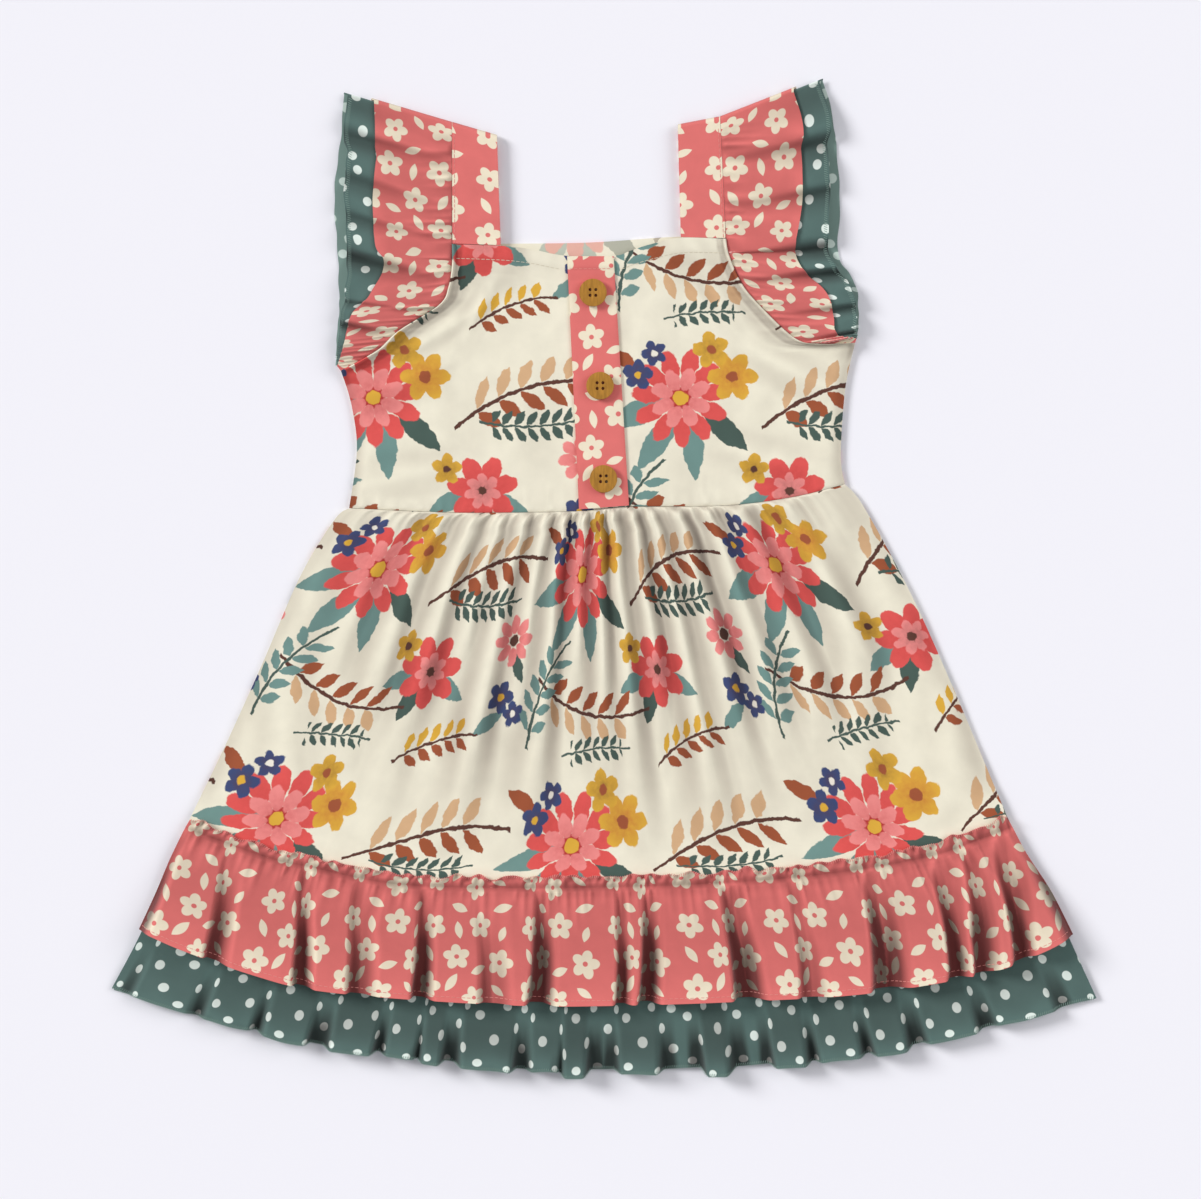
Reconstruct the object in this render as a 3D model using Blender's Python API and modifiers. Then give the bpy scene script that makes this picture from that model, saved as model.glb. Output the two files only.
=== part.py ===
"""A child's flutter sleeve dress, laid flat on a table and seen from above.

The dress lies on its back. Its shoulders are at +Y, its hem at -Y, and its front faces up, +Z.
Front and back panels lie on each other, so every piece is a thin wall of cloth with a height
over the table. Inside this file lengths are millimetres; MM turns them into metres.

From the table up there are four layers of cloth at most:
    back outer   back bodice, back skirt, back coral ruffle, back half of each coral flutter
    back inner   back teal ruffle, back half of each teal flutter
    front inner  front bodice, front skirt, front teal ruffle, front half of each teal flutter
    front outer  front coral ruffle, placket, front half of each coral flutter and strap
"""

from collections import namedtuple
import math

import bmesh
import bpy

MM = 0.001

# Cloth
WALL = 1.0
GAP = 0.3
SEAM = 0.35
LAYER = WALL + GAP

# Heights of the underside of each layer
BACK_OUTER = 0.0
BACK_INNER = LAYER
FRONT_INNER = 2 * LAYER
FRONT_OUTER = 3 * LAYER

# Sleeves and straps pass over the shoulder with a little air between the layers
SHOULDER_TOP = 5.2
TEAL_SHOULDER_TOP = FRONT_INNER + WALL
SHOULDER_CALM_SHARE = 0.12

# Flutters: how high their folds stand, how they grow outwards, and how the teal one drops past the coral
FLUTTER_WAVE = 3.8
FLUTTER_SWELL = 0.7
FULL_WAVE_WIDTH = 36.0
PAST_CORAL_SHARE = 0.03
TEAL_DROP_SHARE = 0.15

# Bodice
FRONT_COLUMNS = 22
BACK_COLUMNS = 16
BODICE_ROWS = 12
SIDE_SEAM_ROWS = 5
ARMHOLE_TIP = SIDE_SEAM_ROWS / BODICE_ROWS
SIDE_DROP_WIDTH = 11.0
ARMHOLE_RISE_WIDTH = 22.0
CHEST_WIDTH = 285.0
BODICE_LENGTH = 145.0
TIP_LEAD_SHARE = 0.06
TIP_BLEND_SHARE = 0.10
STRAP_SHARE = 0.185
STRAP_BLEND_SHARE = 0.27
BACK_INSET = 0.002

# Skirt
SKIRT_COLUMNS = 72
SKIRT_ROW_SHARES = (0.0, 0.035, 0.10, 0.20, 0.35, 0.52, 0.68, 0.81, 0.90, 1.0)
GATHER_CROWDING = 0.30
GATHER_COUNT = 21
GATHER_HEIGHT = 0.9
GATHER_START_SHARE = 0.03
GATHER_FADE_FROM = 0.08
GATHER_FADE_SHARE = 0.16
RIDGE_START_SHARE = 0.05
RIDGE_OPENING = (0.8, 1.3)
CALM_SIDE_SHARE = 0.05
SIDE_SEAM_DROP_SHARE = 0.035
SKIRT_UNDER_HEADING = 12.0
SKIRT_LOWER_FLARE = (-4.7, 5.8)
LOWER_SEAM = 0.5
GATHERED_SEAM = 0.85
SKIRT_EDGE_REACH = 0.06
HEADING_RISE = 0.085

# Hem ruffles
CORAL_COLUMNS = 94
CORAL_DEPTH = 70.0
HEADING_DEPTH = 8.0
CORAL_WAVE = 5.4
TEAL_WAVE_SCALE = 1.3
CORAL_WAVE_AT_STITCHES = 0.2
CORAL_STITCH_HOLD_SHARE = 0.12
CORAL_SIDE_SHARE = 0.02
CORAL_BACK_SIDE_INSET = 0.003
CORAL_BACK_HEM_INSET = 0.01
CORAL_BACK_TOP_INSET = 0.005
RUFFLE_GATHERS = 26
RUFFLE_GATHER_HEIGHT = 0.7
RUFFLE_GATHER_START = 0.1
RUFFLE_GATHER_FADE = 0.3
FRILL_HEIGHT = 1.12
TEAL_COLUMNS = 88
CREST_FLAT_SHARE = 0.62
CREST_SLOPE_SHARE = 0.60
TEAL_BACK_HEM_INSET = 0.006
TEAL_BACK_DROP_SHARE = 0.09

# Buttons
BUTTON_DIAMETER = 15.4
BUTTON_HEIGHT = 2.6
BUTTON_RIM = 2.3
BUTTON_DISH = 0.9
BUTTON_ROUND = 0.5
HOLE_DIAMETER = 1.7
HOLE_SPACING = 3.2
BUTTON_STEPS = 16

Spot = namedtuple("Spot", "across up")
Trough = namedtuple("Trough", "top hem depth width")
Crest = namedtuple("Crest", "at width height drop")
Ridge = namedtuple("Ridge", "at width height reach")
Crease = namedtuple("Crease", "across up turn length width height")
Station = namedtuple("Station", "share edge_x edge_y coral")
SeamRow = namedtuple("SeamRow", "x y arc")
Paint = namedtuple("Paint", "red green blue roughness")

# Front waist seam, from the left side seam to the right one
WAIST = (
    Spot(-142.8, 38.4), Spot(-97.4, 36.3), Spot(-67.2, 35.8), Spot(-16.2, 36.7), Spot(12.9, 39.2),
    Spot(66.6, 39.8), Spot(105.3, 44.5), Spot(135.0, 51.8),
)
# Side seams of the bodice, from the waist up
SIDE_LEFT = (Spot(-142.8, 38.4), Spot(-138.5, 70.8), Spot(-141.5, 96.0), Spot(-147.3, 115.1))
SIDE_RIGHT = (Spot(135.0, 51.8), Spot(132.7, 68.0), Spot(135.2, 105.0), Spot(140.6, 130.8))
# Armholes, from the side seam up to the strap
ARMHOLE_LEFT = (
    Spot(-147.3, 115.1), Spot(-126.8, 126.8), Spot(-115.4, 137.3), Spot(-92.4, 152.0),
    Spot(-87.0, 162.5), Spot(-85.1, 175.0), Spot(-85.1, 186.0),
)
ARMHOLE_RIGHT = (
    Spot(140.6, 130.8), Spot(120.4, 130.2), Spot(106.4, 133.8), Spot(84.8, 154.3),
    Spot(76.0, 166.0), Spot(70.0, 180.0), Spot(68.3, 189.0),
)
# Outer ends of the straps on the shoulder
SHOULDER_LEFT = Spot(-85.1, 254.8)
SHOULDER_RIGHT = Spot(65.0, 257.9)
# Necklines, from the left strap's outer seam to the right one's
NECK_FRONT = (
    Spot(-85.1, 186.0), Spot(-57.7, 185.1), Spot(-41.4, 183.4), Spot(-20.7, 179.6), Spot(5.6, 179.6),
    Spot(15.1, 182.6), Spot(25.8, 186.0), Spot(42.6, 189.6), Spot(68.3, 189.0),
)
NECK_BACK = (Spot(-85.1, 186.0), Spot(-57.7, 186.6), Spot(-8.0, 187.3), Spot(42.6, 190.6), Spot(68.3, 189.0))
# Skirt edges, from the waist down to where the coral ruffle's heading starts
SKIRT_EDGE_LEFT = (
    Spot(-142.8, 38.4), Spot(-151.2, 31.8), Spot(-170.2, 0.3), Spot(-190.4, -46.2),
    Spot(-210.6, -91.0), Spot(-231.8, -135.2),
)
SKIRT_EDGE_RIGHT = (
    Spot(135.0, 51.8), Spot(145.6, 39.2), Spot(171.7, -9.0), Spot(196.0, -63.0), Spot(225.7, -134.1),
)
# Top of the coral heading, left to right
HEADING = (
    Spot(-231.8, -135.2), Spot(-185.9, -151.5), Spot(-161.3, -156.5), Spot(-114.2, -166.0),
    Spot(-50.4, -167.7), Spot(42.6, -166.0), Spot(116.5, -160.4), Spot(175.8, -150.9),
    Spot(207.2, -140.7), Spot(225.7, -134.1),
)
# Sides and hem of the coral ruffle
CORAL_EDGE_LEFT = (Spot(-231.8, -135.2), Spot(-242.5, -157.0), Spot(-251.0, -177.0), Spot(-260.4, -196.8))
CORAL_EDGE_RIGHT = (Spot(225.7, -134.1), Spot(236.0, -154.0), Spot(250.3, -176.0), Spot(262.6, -199.6))
CORAL_HEM = (
    Spot(-260.4, -196.8), Spot(-235.2, -208.0), Spot(-196.6, -221.5), Spot(-164.6, -229.7),
    Spot(-114.2, -234.9), Spot(-45.4, -238.8), Spot(6.2, -238.8), Spot(73.9, -236.6),
    Spot(146.7, -232.1), Spot(212.8, -221.0), Spot(244.7, -209.2), Spot(262.6, -199.6),
)
# Sides and hem of the teal ruffle
TEAL_EDGE_LEFT = (Spot(-249.5, -177.0), Spot(-261.0, -203.0), Spot(-275.8, -230.7))
TEAL_EDGE_RIGHT = (Spot(248.5, -176.0), Spot(263.5, -209.0), Spot(276.0, -236.0))
TEAL_HEM = (
    Spot(-275.8, -230.7), Spot(-228.6, -245.5), Spot(-164.6, -261.0), Spot(-114.2, -267.4),
    Spot(-56.0, -274.5), Spot(0.0, -276.0), Spot(68.3, -274.5), Spot(102.5, -272.0),
    Spot(144.5, -267.5), Spot(185.9, -259.5), Spot(228.5, -249.0), Spot(276.0, -236.0),
)

# Folds that hang in the coral ruffle: share of its width at the top and at the hem, depth, width
CORAL_TROUGHS = (
    Trough(0.060, 0.081, 0.60, 6.0),
    Trough(0.150, 0.178, 0.75, 5.0),
    Trough(0.218, 0.239, 0.55, 7.0),
    Trough(0.297, 0.302, 0.90, 5.5),
    Trough(0.367, 0.373, 0.40, 8.0),
    Trough(0.433, 0.422, 1.00, 6.5),
    Trough(0.525, 0.513, 0.65, 4.5),
    Trough(0.557, 0.540, 1.00, 5.5),
    Trough(0.646, 0.641, 1.00, 8.0),
    Trough(0.727, 0.708, 0.40, 7.0),
    Trough(0.816, 0.785, 1.00, 8.5),
    Trough(0.900, 0.858, 0.80, 6.0),
    Trough(0.934, 0.888, 0.70, 6.0),
    Trough(0.977, 0.928, 0.80, 7.0),
)
# Waves that show in the teal ruffle below the coral hem: share of its width, half width, height, and
# how far each drops below the others
TEAL_CRESTS = (
    Crest(0.055, 15.0, 2.0, 0.5),
    Crest(0.120, 14.0, 2.6, 1.0),
    Crest(0.178, 13.0, 3.0, 2.2),
    Crest(0.245, 13.0, 3.6, 2.6),
    Crest(0.296, 9.0, 2.8, 2.0),
    Crest(0.327, 6.0, 3.6, 3.4),
    Crest(0.382, 15.0, 3.8, 2.8),
    Crest(0.442, 9.0, 3.0, 1.6),
    Crest(0.472, 7.0, 4.2, 4.4),
    Crest(0.535, 11.0, 3.6, 2.6),
    Crest(0.612, 8.0, 4.2, 5.0),
    Crest(0.688, 10.0, 3.6, 2.8),
    Crest(0.738, 12.0, 3.2, 1.8),
    Crest(0.789, 10.0, 3.6, 2.6),
    Crest(0.852, 15.0, 2.8, 1.6),
    Crest(0.925, 16.0, 2.4, 0.8),
)
# Ridges of the gathered skirt: share of the waist, width in shares, height, and the share of the
# length at which each has faded out, counted down from the waist
SKIRT_RIDGES = (
    Ridge(0.085, 0.020, 1.4, 0.60),
    Ridge(0.150, 0.022, 1.9, 0.75),
    Ridge(0.215, 0.018, 2.2, 0.85),
    Ridge(0.268, 0.016, 1.7, 0.55),
    Ridge(0.318, 0.018, 2.6, 0.95),
    Ridge(0.368, 0.015, 2.0, 0.65),
    Ridge(0.412, 0.017, 3.0, 0.92),
    Ridge(0.462, 0.015, 2.4, 0.60),
    Ridge(0.508, 0.016, 3.1, 0.80),
    Ridge(0.552, 0.015, 2.5, 0.95),
    Ridge(0.600, 0.017, 3.2, 0.72),
    Ridge(0.652, 0.016, 2.7, 0.98),
    Ridge(0.706, 0.020, 3.3, 0.90),
    Ridge(0.768, 0.018, 2.4, 0.80),
    Ridge(0.826, 0.022, 2.2, 0.85),
    Ridge(0.905, 0.022, 1.6, 0.65),
)
# Pull creases of the bodice beside the armholes: middle, direction in degrees, length, width, height
BODICE_CREASES = (
    Crease(-70.0, 150.0, 62.0, 22.0, 3.6, 0.9),
    Crease(-92.0, 137.0, 32.0, 26.0, 4.0, 0.9),
    Crease(-118.0, 108.0, 20.0, 24.0, 5.0, 0.7),
    Crease(60.0, 165.0, 118.0, 24.0, 4.0, 0.9),
    Crease(100.0, 118.0, 155.0, 26.0, 4.5, 0.8),
    Crease(-105.0, 58.0, 8.0, 30.0, 5.0, 0.6),
    Crease(92.0, 66.0, 170.0, 30.0, 5.0, 0.6),
)

# Outer edge of the teal flutter, from the armhole's tip (share 0) along the seam up to the shoulder
# fold (share 1), and the coral flutter's edge as a share of the way out to it
FLUTTER_LEFT = (
    Station(0.00, -149.9, 118.4, 0.80),
    Station(0.14, -149.3, 130.5, 0.84),
    Station(0.305, -147.0, 146.5, 0.86),
    Station(0.415, -145.6, 158.5, 0.74),
    Station(0.53, -146.6, 176.5, 0.64),
    Station(0.585, -147.4, 189.5, 0.72),
    Station(0.737, -148.4, 219.5, 0.725),
    Station(0.90, -145.4, 250.0, 0.71),
    Station(1.00, -143.6, 272.1, 0.745),
)
FLUTTER_RIGHT = (
    Station(0.00, 141.6, 134.0, 0.70),
    Station(0.145, 141.6, 137.5, 0.60),
    Station(0.28, 141.0, 148.5, 0.71),
    Station(0.38, 139.4, 160.0, 0.73),
    Station(0.47, 134.2, 170.5, 0.66),
    Station(0.565, 128.8, 182.5, 0.66),
    Station(0.71, 129.6, 215.0, 0.73),
    Station(0.90, 126.8, 256.0, 0.745),
    Station(1.00, 120.6, 279.7, 0.74),
)
# Folds of the flutters, at the seam and at the edge as shares of the way up, with depth and width
FLUTTER_TROUGHS_LEFT = (
    Trough(0.20, 0.25, 0.90, 0.026),
    Trough(0.33, 0.37, 0.45, 0.022),
    Trough(0.46, 0.55, 1.00, 0.030),
    Trough(0.61, 0.66, 0.50, 0.022),
    Trough(0.72, 0.77, 0.55, 0.026),
    Trough(0.85, 0.90, 0.90, 0.028),
)
FLUTTER_TROUGHS_RIGHT = (
    Trough(0.17, 0.14, 0.70, 0.024),
    Trough(0.29, 0.30, 0.60, 0.024),
    Trough(0.44, 0.47, 0.90, 0.026),
    Trough(0.555, 0.58, 1.00, 0.026),
    Trough(0.71, 0.72, 0.65, 0.026),
    Trough(0.84, 0.85, 0.75, 0.030),
)

# Colours as the camera saw them, linear, with a roughness
CREAM = Paint(0.80, 0.75, 0.61, 0.85)
CREAM_BACK = Paint(0.74, 0.69, 0.56, 0.88)
CORAL = Paint(0.71, 0.13, 0.12, 0.80)
CORAL_PLACKET = Paint(0.76, 0.20, 0.18, 0.80)
TEAL = Paint(0.085, 0.20, 0.165, 0.82)
WOOD = Paint(0.33, 0.17, 0.035, 0.45)


def smooth(value):
    """Ease from 0 to 1 with level ends."""
    held = min(1.0, max(0.0, value))
    return held * held * (3.0 - 2.0 * held)


def mix(start, end, share):
    """Go a share of the way from one number to another."""
    return start + (end - start) * share


def bump(offset, width):
    """A soft hill, 1 high at its middle."""
    return math.exp(-(offset / width) ** 2)


def curve_point(points, share):
    """Place at a share of the way along a smooth curve through the points."""
    lengths = [0.0]
    for first, second in zip(points, points[1:]):
        lengths.append(lengths[-1] + math.dist(first, second))
    target = min(1.0, max(0.0, share)) * lengths[-1]
    span = 0
    while span < len(points) - 2 and lengths[span + 1] < target:
        span += 1
    step = (target - lengths[span]) / (lengths[span + 1] - lengths[span])
    before = points[max(0, span - 1)]
    start = points[span]
    end = points[span + 1]
    after = points[min(len(points) - 1, span + 2)]
    place = []
    for a, b, c, d in zip(before, start, end, after):
        leave = 0.5 * (c - a)
        arrive = 0.5 * (d - b)
        cube = 2 * b - 2 * c + leave + arrive
        square = -3 * b + 3 * c - 2 * leave - arrive
        place.append(((cube * step + square) * step + leave) * step + b)
    return place[0], place[1]


def waist_point(share, columns):
    """Place on the waist seam, straight from one column of the bodice to the next."""
    column = min(columns - 1, int(share * columns))
    start = curve_point(WAIST, column / columns)
    end = curve_point(WAIST, (column + 1) / columns)
    step = share * columns - column
    return mix(start[0], end[0], step), mix(start[1], end[1], step)


def patch_point(low, high, left, right, across, up):
    """Place inside four edges, each a function of a share. Left and right run upwards."""
    place = []
    corners = zip(low(0.0), low(1.0), high(0.0), high(1.0))
    for axis, (low_left, low_right, high_left, high_right) in enumerate(corners):
        ruled_up = mix(low(across)[axis], high(across)[axis], up)
        ruled_across = mix(left(up)[axis], right(up)[axis], across)
        flat = mix(mix(low_left, low_right, across), mix(high_left, high_right, across), up)
        place.append(ruled_up + ruled_across - flat)
    return place[0], place[1]


def shifted(point, across=0.0, up=0.0):
    """The same place moved a little."""
    return point[0] + across, point[1] + up


def station_at(stations, share):
    """Edge and coral share of a flutter at a share of the way up its seam."""
    span = 0
    while span < len(stations) - 2 and stations[span + 1].share < share:
        span += 1
    before = stations[max(0, span - 1)]
    start = stations[span]
    end = stations[span + 1]
    after = stations[min(len(stations) - 1, span + 2)]
    step = (share - start.share) / (end.share - start.share)
    values = []
    for a, b, c, d in zip(before, start, end, after):
        cube = 2 * b - 2 * c + 0.5 * (c - a) + 0.5 * (d - b)
        square = -3 * b + 3 * c - (c - a) - 0.5 * (d - b)
        values.append(((cube * step + square) * step + 0.5 * (c - a)) * step + b)
    return Station(*values)


def make_paint(name, paint):
    """A plain material in the piece's own colour."""
    material = bpy.data.materials.new(name)
    material.use_nodes = True
    shader = material.node_tree.nodes["Principled BSDF"]
    shader.inputs["Base Color"].default_value = (paint.red, paint.green, paint.blue, 1.0)
    shader.inputs["Roughness"].default_value = paint.roughness
    shader.inputs["Metallic"].default_value = 0.0
    return material


def place_piece(name, mesh, paint, home, collection):
    """Put a mesh in the dress as a named piece with its own material."""
    piece = bpy.data.objects.new(name, mesh)
    mesh.materials.append(make_paint(name + "_cloth", paint))
    collection.objects.link(piece)
    piece.parent = home
    return piece


def make_cloth(name, columns, rows, surface, grows, paint, home, collection):
    """A wall of cloth: an open sheet shaped by surface(across, up), thickened by Solidify.

    With grows at 1 the sheet is the wall's underside, and with -1 it is the outer face.
    """
    sheet = bmesh.new()
    bmesh.ops.create_grid(sheet, x_segments=columns, y_segments=rows, size=0.5)
    for vertex in sheet.verts:
        across = min(1.0, max(0.0, vertex.co.x + 0.5))
        up = min(1.0, max(0.0, vertex.co.y + 0.5))
        x, y, z = surface(across, up)
        vertex.co = (x * MM, y * MM, z * MM)
    mesh = bpy.data.meshes.new(name)
    sheet.to_mesh(mesh)
    sheet.free()
    mesh.shade_smooth()
    piece = place_piece(name, mesh, paint, home, collection)
    wall = piece.modifiers.new("wall", "SOLIDIFY")
    wall.thickness = WALL * MM
    wall.offset = grows
    wall.use_rim = True
    return piece


# Bodice


def bodice_place(across, up, neck, columns):
    """Place on the bodice: across from left to right, up from waist to neckline."""

    def left(share):
        if share <= ARMHOLE_TIP:
            return curve_point(SIDE_LEFT, share / ARMHOLE_TIP)
        return curve_point(ARMHOLE_LEFT, (share - ARMHOLE_TIP) / (1.0 - ARMHOLE_TIP))

    def right(share):
        if share <= ARMHOLE_TIP:
            return curve_point(SIDE_RIGHT, share / ARMHOLE_TIP)
        return curve_point(ARMHOLE_RIGHT, (share - ARMHOLE_TIP) / (1.0 - ARMHOLE_TIP))

    return patch_point(
        lambda share: waist_point(share, columns),
        lambda share: curve_point(neck, share),
        left,
        right,
        across,
        up,
    )


def crease_height(x, y):
    """Height of the pull creases at a place on the bodice."""
    height = 0.0
    for crease in BODICE_CREASES:
        turn = math.radians(crease.turn)
        along = (x - crease.across) * math.cos(turn) + (y - crease.up) * math.sin(turn)
        aside = (y - crease.up) * math.cos(turn) - (x - crease.across) * math.sin(turn)
        height += crease.height * bump(along, crease.length) * bump(aside, crease.width)
    return height


def bodice_front(across, up):
    """Underside of the front bodice. It dips to the side seams and rises to armholes and straps."""
    x, y = bodice_place(across, up, NECK_FRONT, FRONT_COLUMNS)
    from_edge = min(across, 1.0 - across)
    edge_distance = from_edge * CHEST_WIDTH
    on_armhole = smooth((up - ARMHOLE_TIP + TIP_LEAD_SHARE) / TIP_BLEND_SHARE)
    side = (1.0 - on_armhole) * smooth(1.0 - edge_distance / SIDE_DROP_WIDTH)
    armhole = on_armhole * smooth(1.0 - edge_distance / ARMHOLE_RISE_WIDTH)
    strap = smooth((STRAP_BLEND_SHARE - from_edge) / (STRAP_BLEND_SHARE - STRAP_SHARE))
    strap *= smooth(1.0 - (1.0 - up) * BODICE_LENGTH / ARMHOLE_RISE_WIDTH)
    rise = SHOULDER_TOP - WALL - FRONT_INNER
    creases = crease_height(x, y) * smooth(edge_distance / SIDE_DROP_WIDTH)
    return x, y, FRONT_INNER - side * LAYER + max(armhole, strap) * rise + creases * (1.0 - armhole)


def bodice_back(across, up):
    """Underside of the back bodice, flat on the table and just inside the front's outline."""
    x, y = bodice_place(mix(BACK_INSET, 1.0 - BACK_INSET, across), up, NECK_BACK, BACK_COLUMNS)
    return x, y, BACK_OUTER


# Placket and buttons

PLACKET_LEFT = (Spot(-20.7, 179.0), Spot(-14.0, 38.2))
PLACKET_RIGHT = (Spot(5.4, 179.0), Spot(14.0, 40.2))
BUTTON_PLACES = (
    ("button_top", Spot(-6.2, 158.8)),
    ("button_middle", Spot(-2.2, 106.7)),
    ("button_bottom", Spot(-0.3, 54.6)),
)
PLACKET_UNDERSIDE = FRONT_INNER + LAYER
BUTTON_UNDERSIDE = PLACKET_UNDERSIDE + LAYER


def placket(across, up):
    """Underside of the placket, flat on the middle of the front bodice."""
    x_high = mix(PLACKET_LEFT[0].across, PLACKET_RIGHT[0].across, across)
    x_low = mix(PLACKET_LEFT[1].across, PLACKET_RIGHT[1].across, across)
    y_high = mix(PLACKET_LEFT[0].up, PLACKET_RIGHT[0].up, across)
    y_low = mix(PLACKET_LEFT[1].up, PLACKET_RIGHT[1].up, across)
    return mix(x_low, x_high, up), mix(y_low, y_high, up), PLACKET_UNDERSIDE


def make_hole_cutter(name, spot, home, cutters):
    """Four round pins in a square, for the thread holes of one button."""
    pins = bmesh.new()
    for side in (-0.5, 0.5):
        for end in (-0.5, 0.5):
            made = bmesh.ops.create_cone(
                pins, cap_ends=True, segments=8, radius1=HOLE_DIAMETER / 2 * MM,
                radius2=HOLE_DIAMETER / 2 * MM, depth=4 * BUTTON_HEIGHT * MM,
            )
            offset = (side * HOLE_SPACING * MM, end * HOLE_SPACING * MM, 0.0)
            bmesh.ops.translate(pins, verts=made["verts"], vec=offset)
    mesh = bpy.data.meshes.new(name)
    pins.to_mesh(mesh)
    pins.free()
    cutter = bpy.data.objects.new(name, mesh)
    cutter.location = (spot.across * MM, spot.up * MM, BUTTON_UNDERSIDE * MM)
    cutter.parent = home
    cutter.hide_render = True
    cutter.display_type = "WIRE"
    cutters.objects.link(cutter)
    return cutter


def make_button(name, spot, home, collection, cutters):
    """A turned button with a rounded rim, a dished middle and four holes."""
    radius = BUTTON_DIAMETER / 2
    dish = BUTTON_HEIGHT - BUTTON_DISH
    profile = (
        (0.0, dish),
        (radius - BUTTON_RIM - BUTTON_ROUND, dish),
        (radius - BUTTON_RIM, BUTTON_HEIGHT),
        (radius - BUTTON_ROUND, BUTTON_HEIGHT),
        (radius, BUTTON_HEIGHT - 2 * BUTTON_ROUND),
        (radius, BUTTON_ROUND),
        (radius - BUTTON_ROUND, 0.0),
        (0.0, 0.0),
    )
    outline = bmesh.new()
    corners = [outline.verts.new((x * MM, 0.0, z * MM)) for x, z in profile]
    for first, second in zip(corners, corners[1:]):
        outline.edges.new((first, second))
    mesh = bpy.data.meshes.new(name)
    outline.to_mesh(mesh)
    outline.free()
    button = place_piece(name, mesh, WOOD, home, collection)
    button.location = (spot.across * MM, spot.up * MM, BUTTON_UNDERSIDE * MM)
    turned = button.modifiers.new("turned", "SCREW")
    turned.steps = BUTTON_STEPS
    turned.render_steps = BUTTON_STEPS
    turned.use_merge_vertices = True
    turned.merge_threshold = 0.00001
    holes = button.modifiers.new("holes", "BOOLEAN")
    holes.operation = "DIFFERENCE"
    holes.object = make_hole_cutter(name + "_holes", spot, home, cutters)
    return button


# Straps and flutters, which pass over the shoulder


def over_shoulder(up, front_share, bend_share):
    """Split the way from the front end over the shoulder to the back end.

    Gives the share climbed towards the shoulder, and the angle of the bend in degrees: 90 is the
    front, face up, and -90 the back, face down.
    """
    if up <= front_share:
        return up / front_share, 90.0
    if up < front_share + bend_share:
        return 1.0, mix(90.0, -90.0, (up - front_share) / bend_share)
    return (1.0 - up) / (1.0 - front_share - bend_share), -90.0


STRAPS = {
    "strap_left": ((Spot(-84.9, 186.4), SHOULDER_LEFT), (Spot(-57.9, 185.5), Spot(-59.9, 247.5))),
    "strap_right": ((Spot(43.0, 190.0), Spot(41.4, 253.4)), (Spot(68.1, 189.4), SHOULDER_RIGHT)),
}
STRAP_BACK_SHIFT = 1.6
STRAP_ROWS = 16
STRAP_FRONT_SHARE = 6 / STRAP_ROWS
STRAP_BEND_SHARE = 5 / STRAP_ROWS


def strap_surface(edges, across, up):
    """Outer face of a strap, from its front end over the shoulder to its back end."""
    climbed, angle = over_shoulder(up, STRAP_FRONT_SHARE, STRAP_BEND_SHARE)
    radius = SHOULDER_TOP / 2
    turn = math.radians(angle)
    left, right = edges
    x_low = mix(left[0].across, right[0].across, across)
    x_high = mix(left[1].across, right[1].across, across)
    y_low = mix(left[0].up, right[0].up, across)
    y_high = mix(left[1].up, right[1].up, across) - radius
    if angle < 0.0:
        y_low += STRAP_BACK_SHIFT
    y = mix(y_low, y_high, climbed) + radius * math.cos(turn)
    return mix(x_low, x_high, climbed), y, radius + radius * math.sin(turn)


def flutter_wave(troughs, share, outward, width):
    """Height of the folds of a flutter, nothing at the seam, at the shoulder fold and at the tip."""
    height = FLUTTER_WAVE * outward ** FLUTTER_SWELL * smooth(width / FULL_WAVE_WIDTH)
    for trough in troughs:
        middle = mix(trough.top, trough.hem, outward)
        height *= 1.0 - trough.depth * bump(share - middle, trough.width)
    return height * smooth((1.0 - share) / SHOULDER_CALM_SHARE)


ARMHOLE_STEPS = 3
STRAP_STEPS = 10
STRAP_BACK_STEPS = 2
FLUTTER_BEND_ROWS = 5
CORAL_FLUTTER_COLUMNS = 4
BACK_PEEK = 1.03


def flutter_seam(armhole, shoulder, outward_sign):
    """Rows of a flutter's seam, just outside the bodice's armhole rows and the strap's edge."""
    spans = BODICE_ROWS - SIDE_SEAM_ROWS
    corners = [curve_point(armhole, row / spans) for row in range(spans + 1)] + [shoulder]
    moved = []
    for index, corner in enumerate(corners):
        before = corners[max(0, index - 1)]
        after = corners[min(len(corners) - 1, index + 1)]
        length = math.dist(before, after)
        aside_x = -(after[1] - before[1]) / length * outward_sign
        aside_y = (after[0] - before[0]) / length * outward_sign
        moved.append((corner[0] + aside_x * SEAM, corner[1] + aside_y * SEAM))
    rows = [SeamRow(moved[0][0], moved[0][1], 0.0)]
    for index, (start, end) in enumerate(zip(moved, moved[1:])):
        steps = ARMHOLE_STEPS if index < spans else STRAP_STEPS
        for step in range(1, steps + 1):
            x = mix(start[0], end[0], step / steps)
            y = mix(start[1], end[1], step / steps)
            rows.append(SeamRow(x, y, rows[-1].arc + math.dist((x, y), rows[-1][:2])))
    return [SeamRow(row.x, row.y, row.arc / rows[-1].arc) for row in rows]


def flutter_rows(seam):
    """Rows of a flutter as pairs: its row on the seam and the angle of the shoulder's bend.

    The front, face up, is at 90 degrees and has every row. The back, face down, is at -90 degrees
    and has only the armhole's corners and a few rows beside the strap.
    """
    top = len(seam) - 1
    rows = [(row, 90.0) for row in range(top)]
    rows += [(top, mix(90.0, -90.0, step / FLUTTER_BEND_ROWS)) for step in range(FLUTTER_BEND_ROWS + 1)]
    armhole_top = top - STRAP_STEPS
    strap_step = STRAP_STEPS // STRAP_BACK_STEPS
    rows += [(row, -90.0) for row in range(top - strap_step, armhole_top, -strap_step)]
    rows += [(row, -90.0) for row in range(armhole_top, -1, -ARMHOLE_STEPS)]
    return rows


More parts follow.
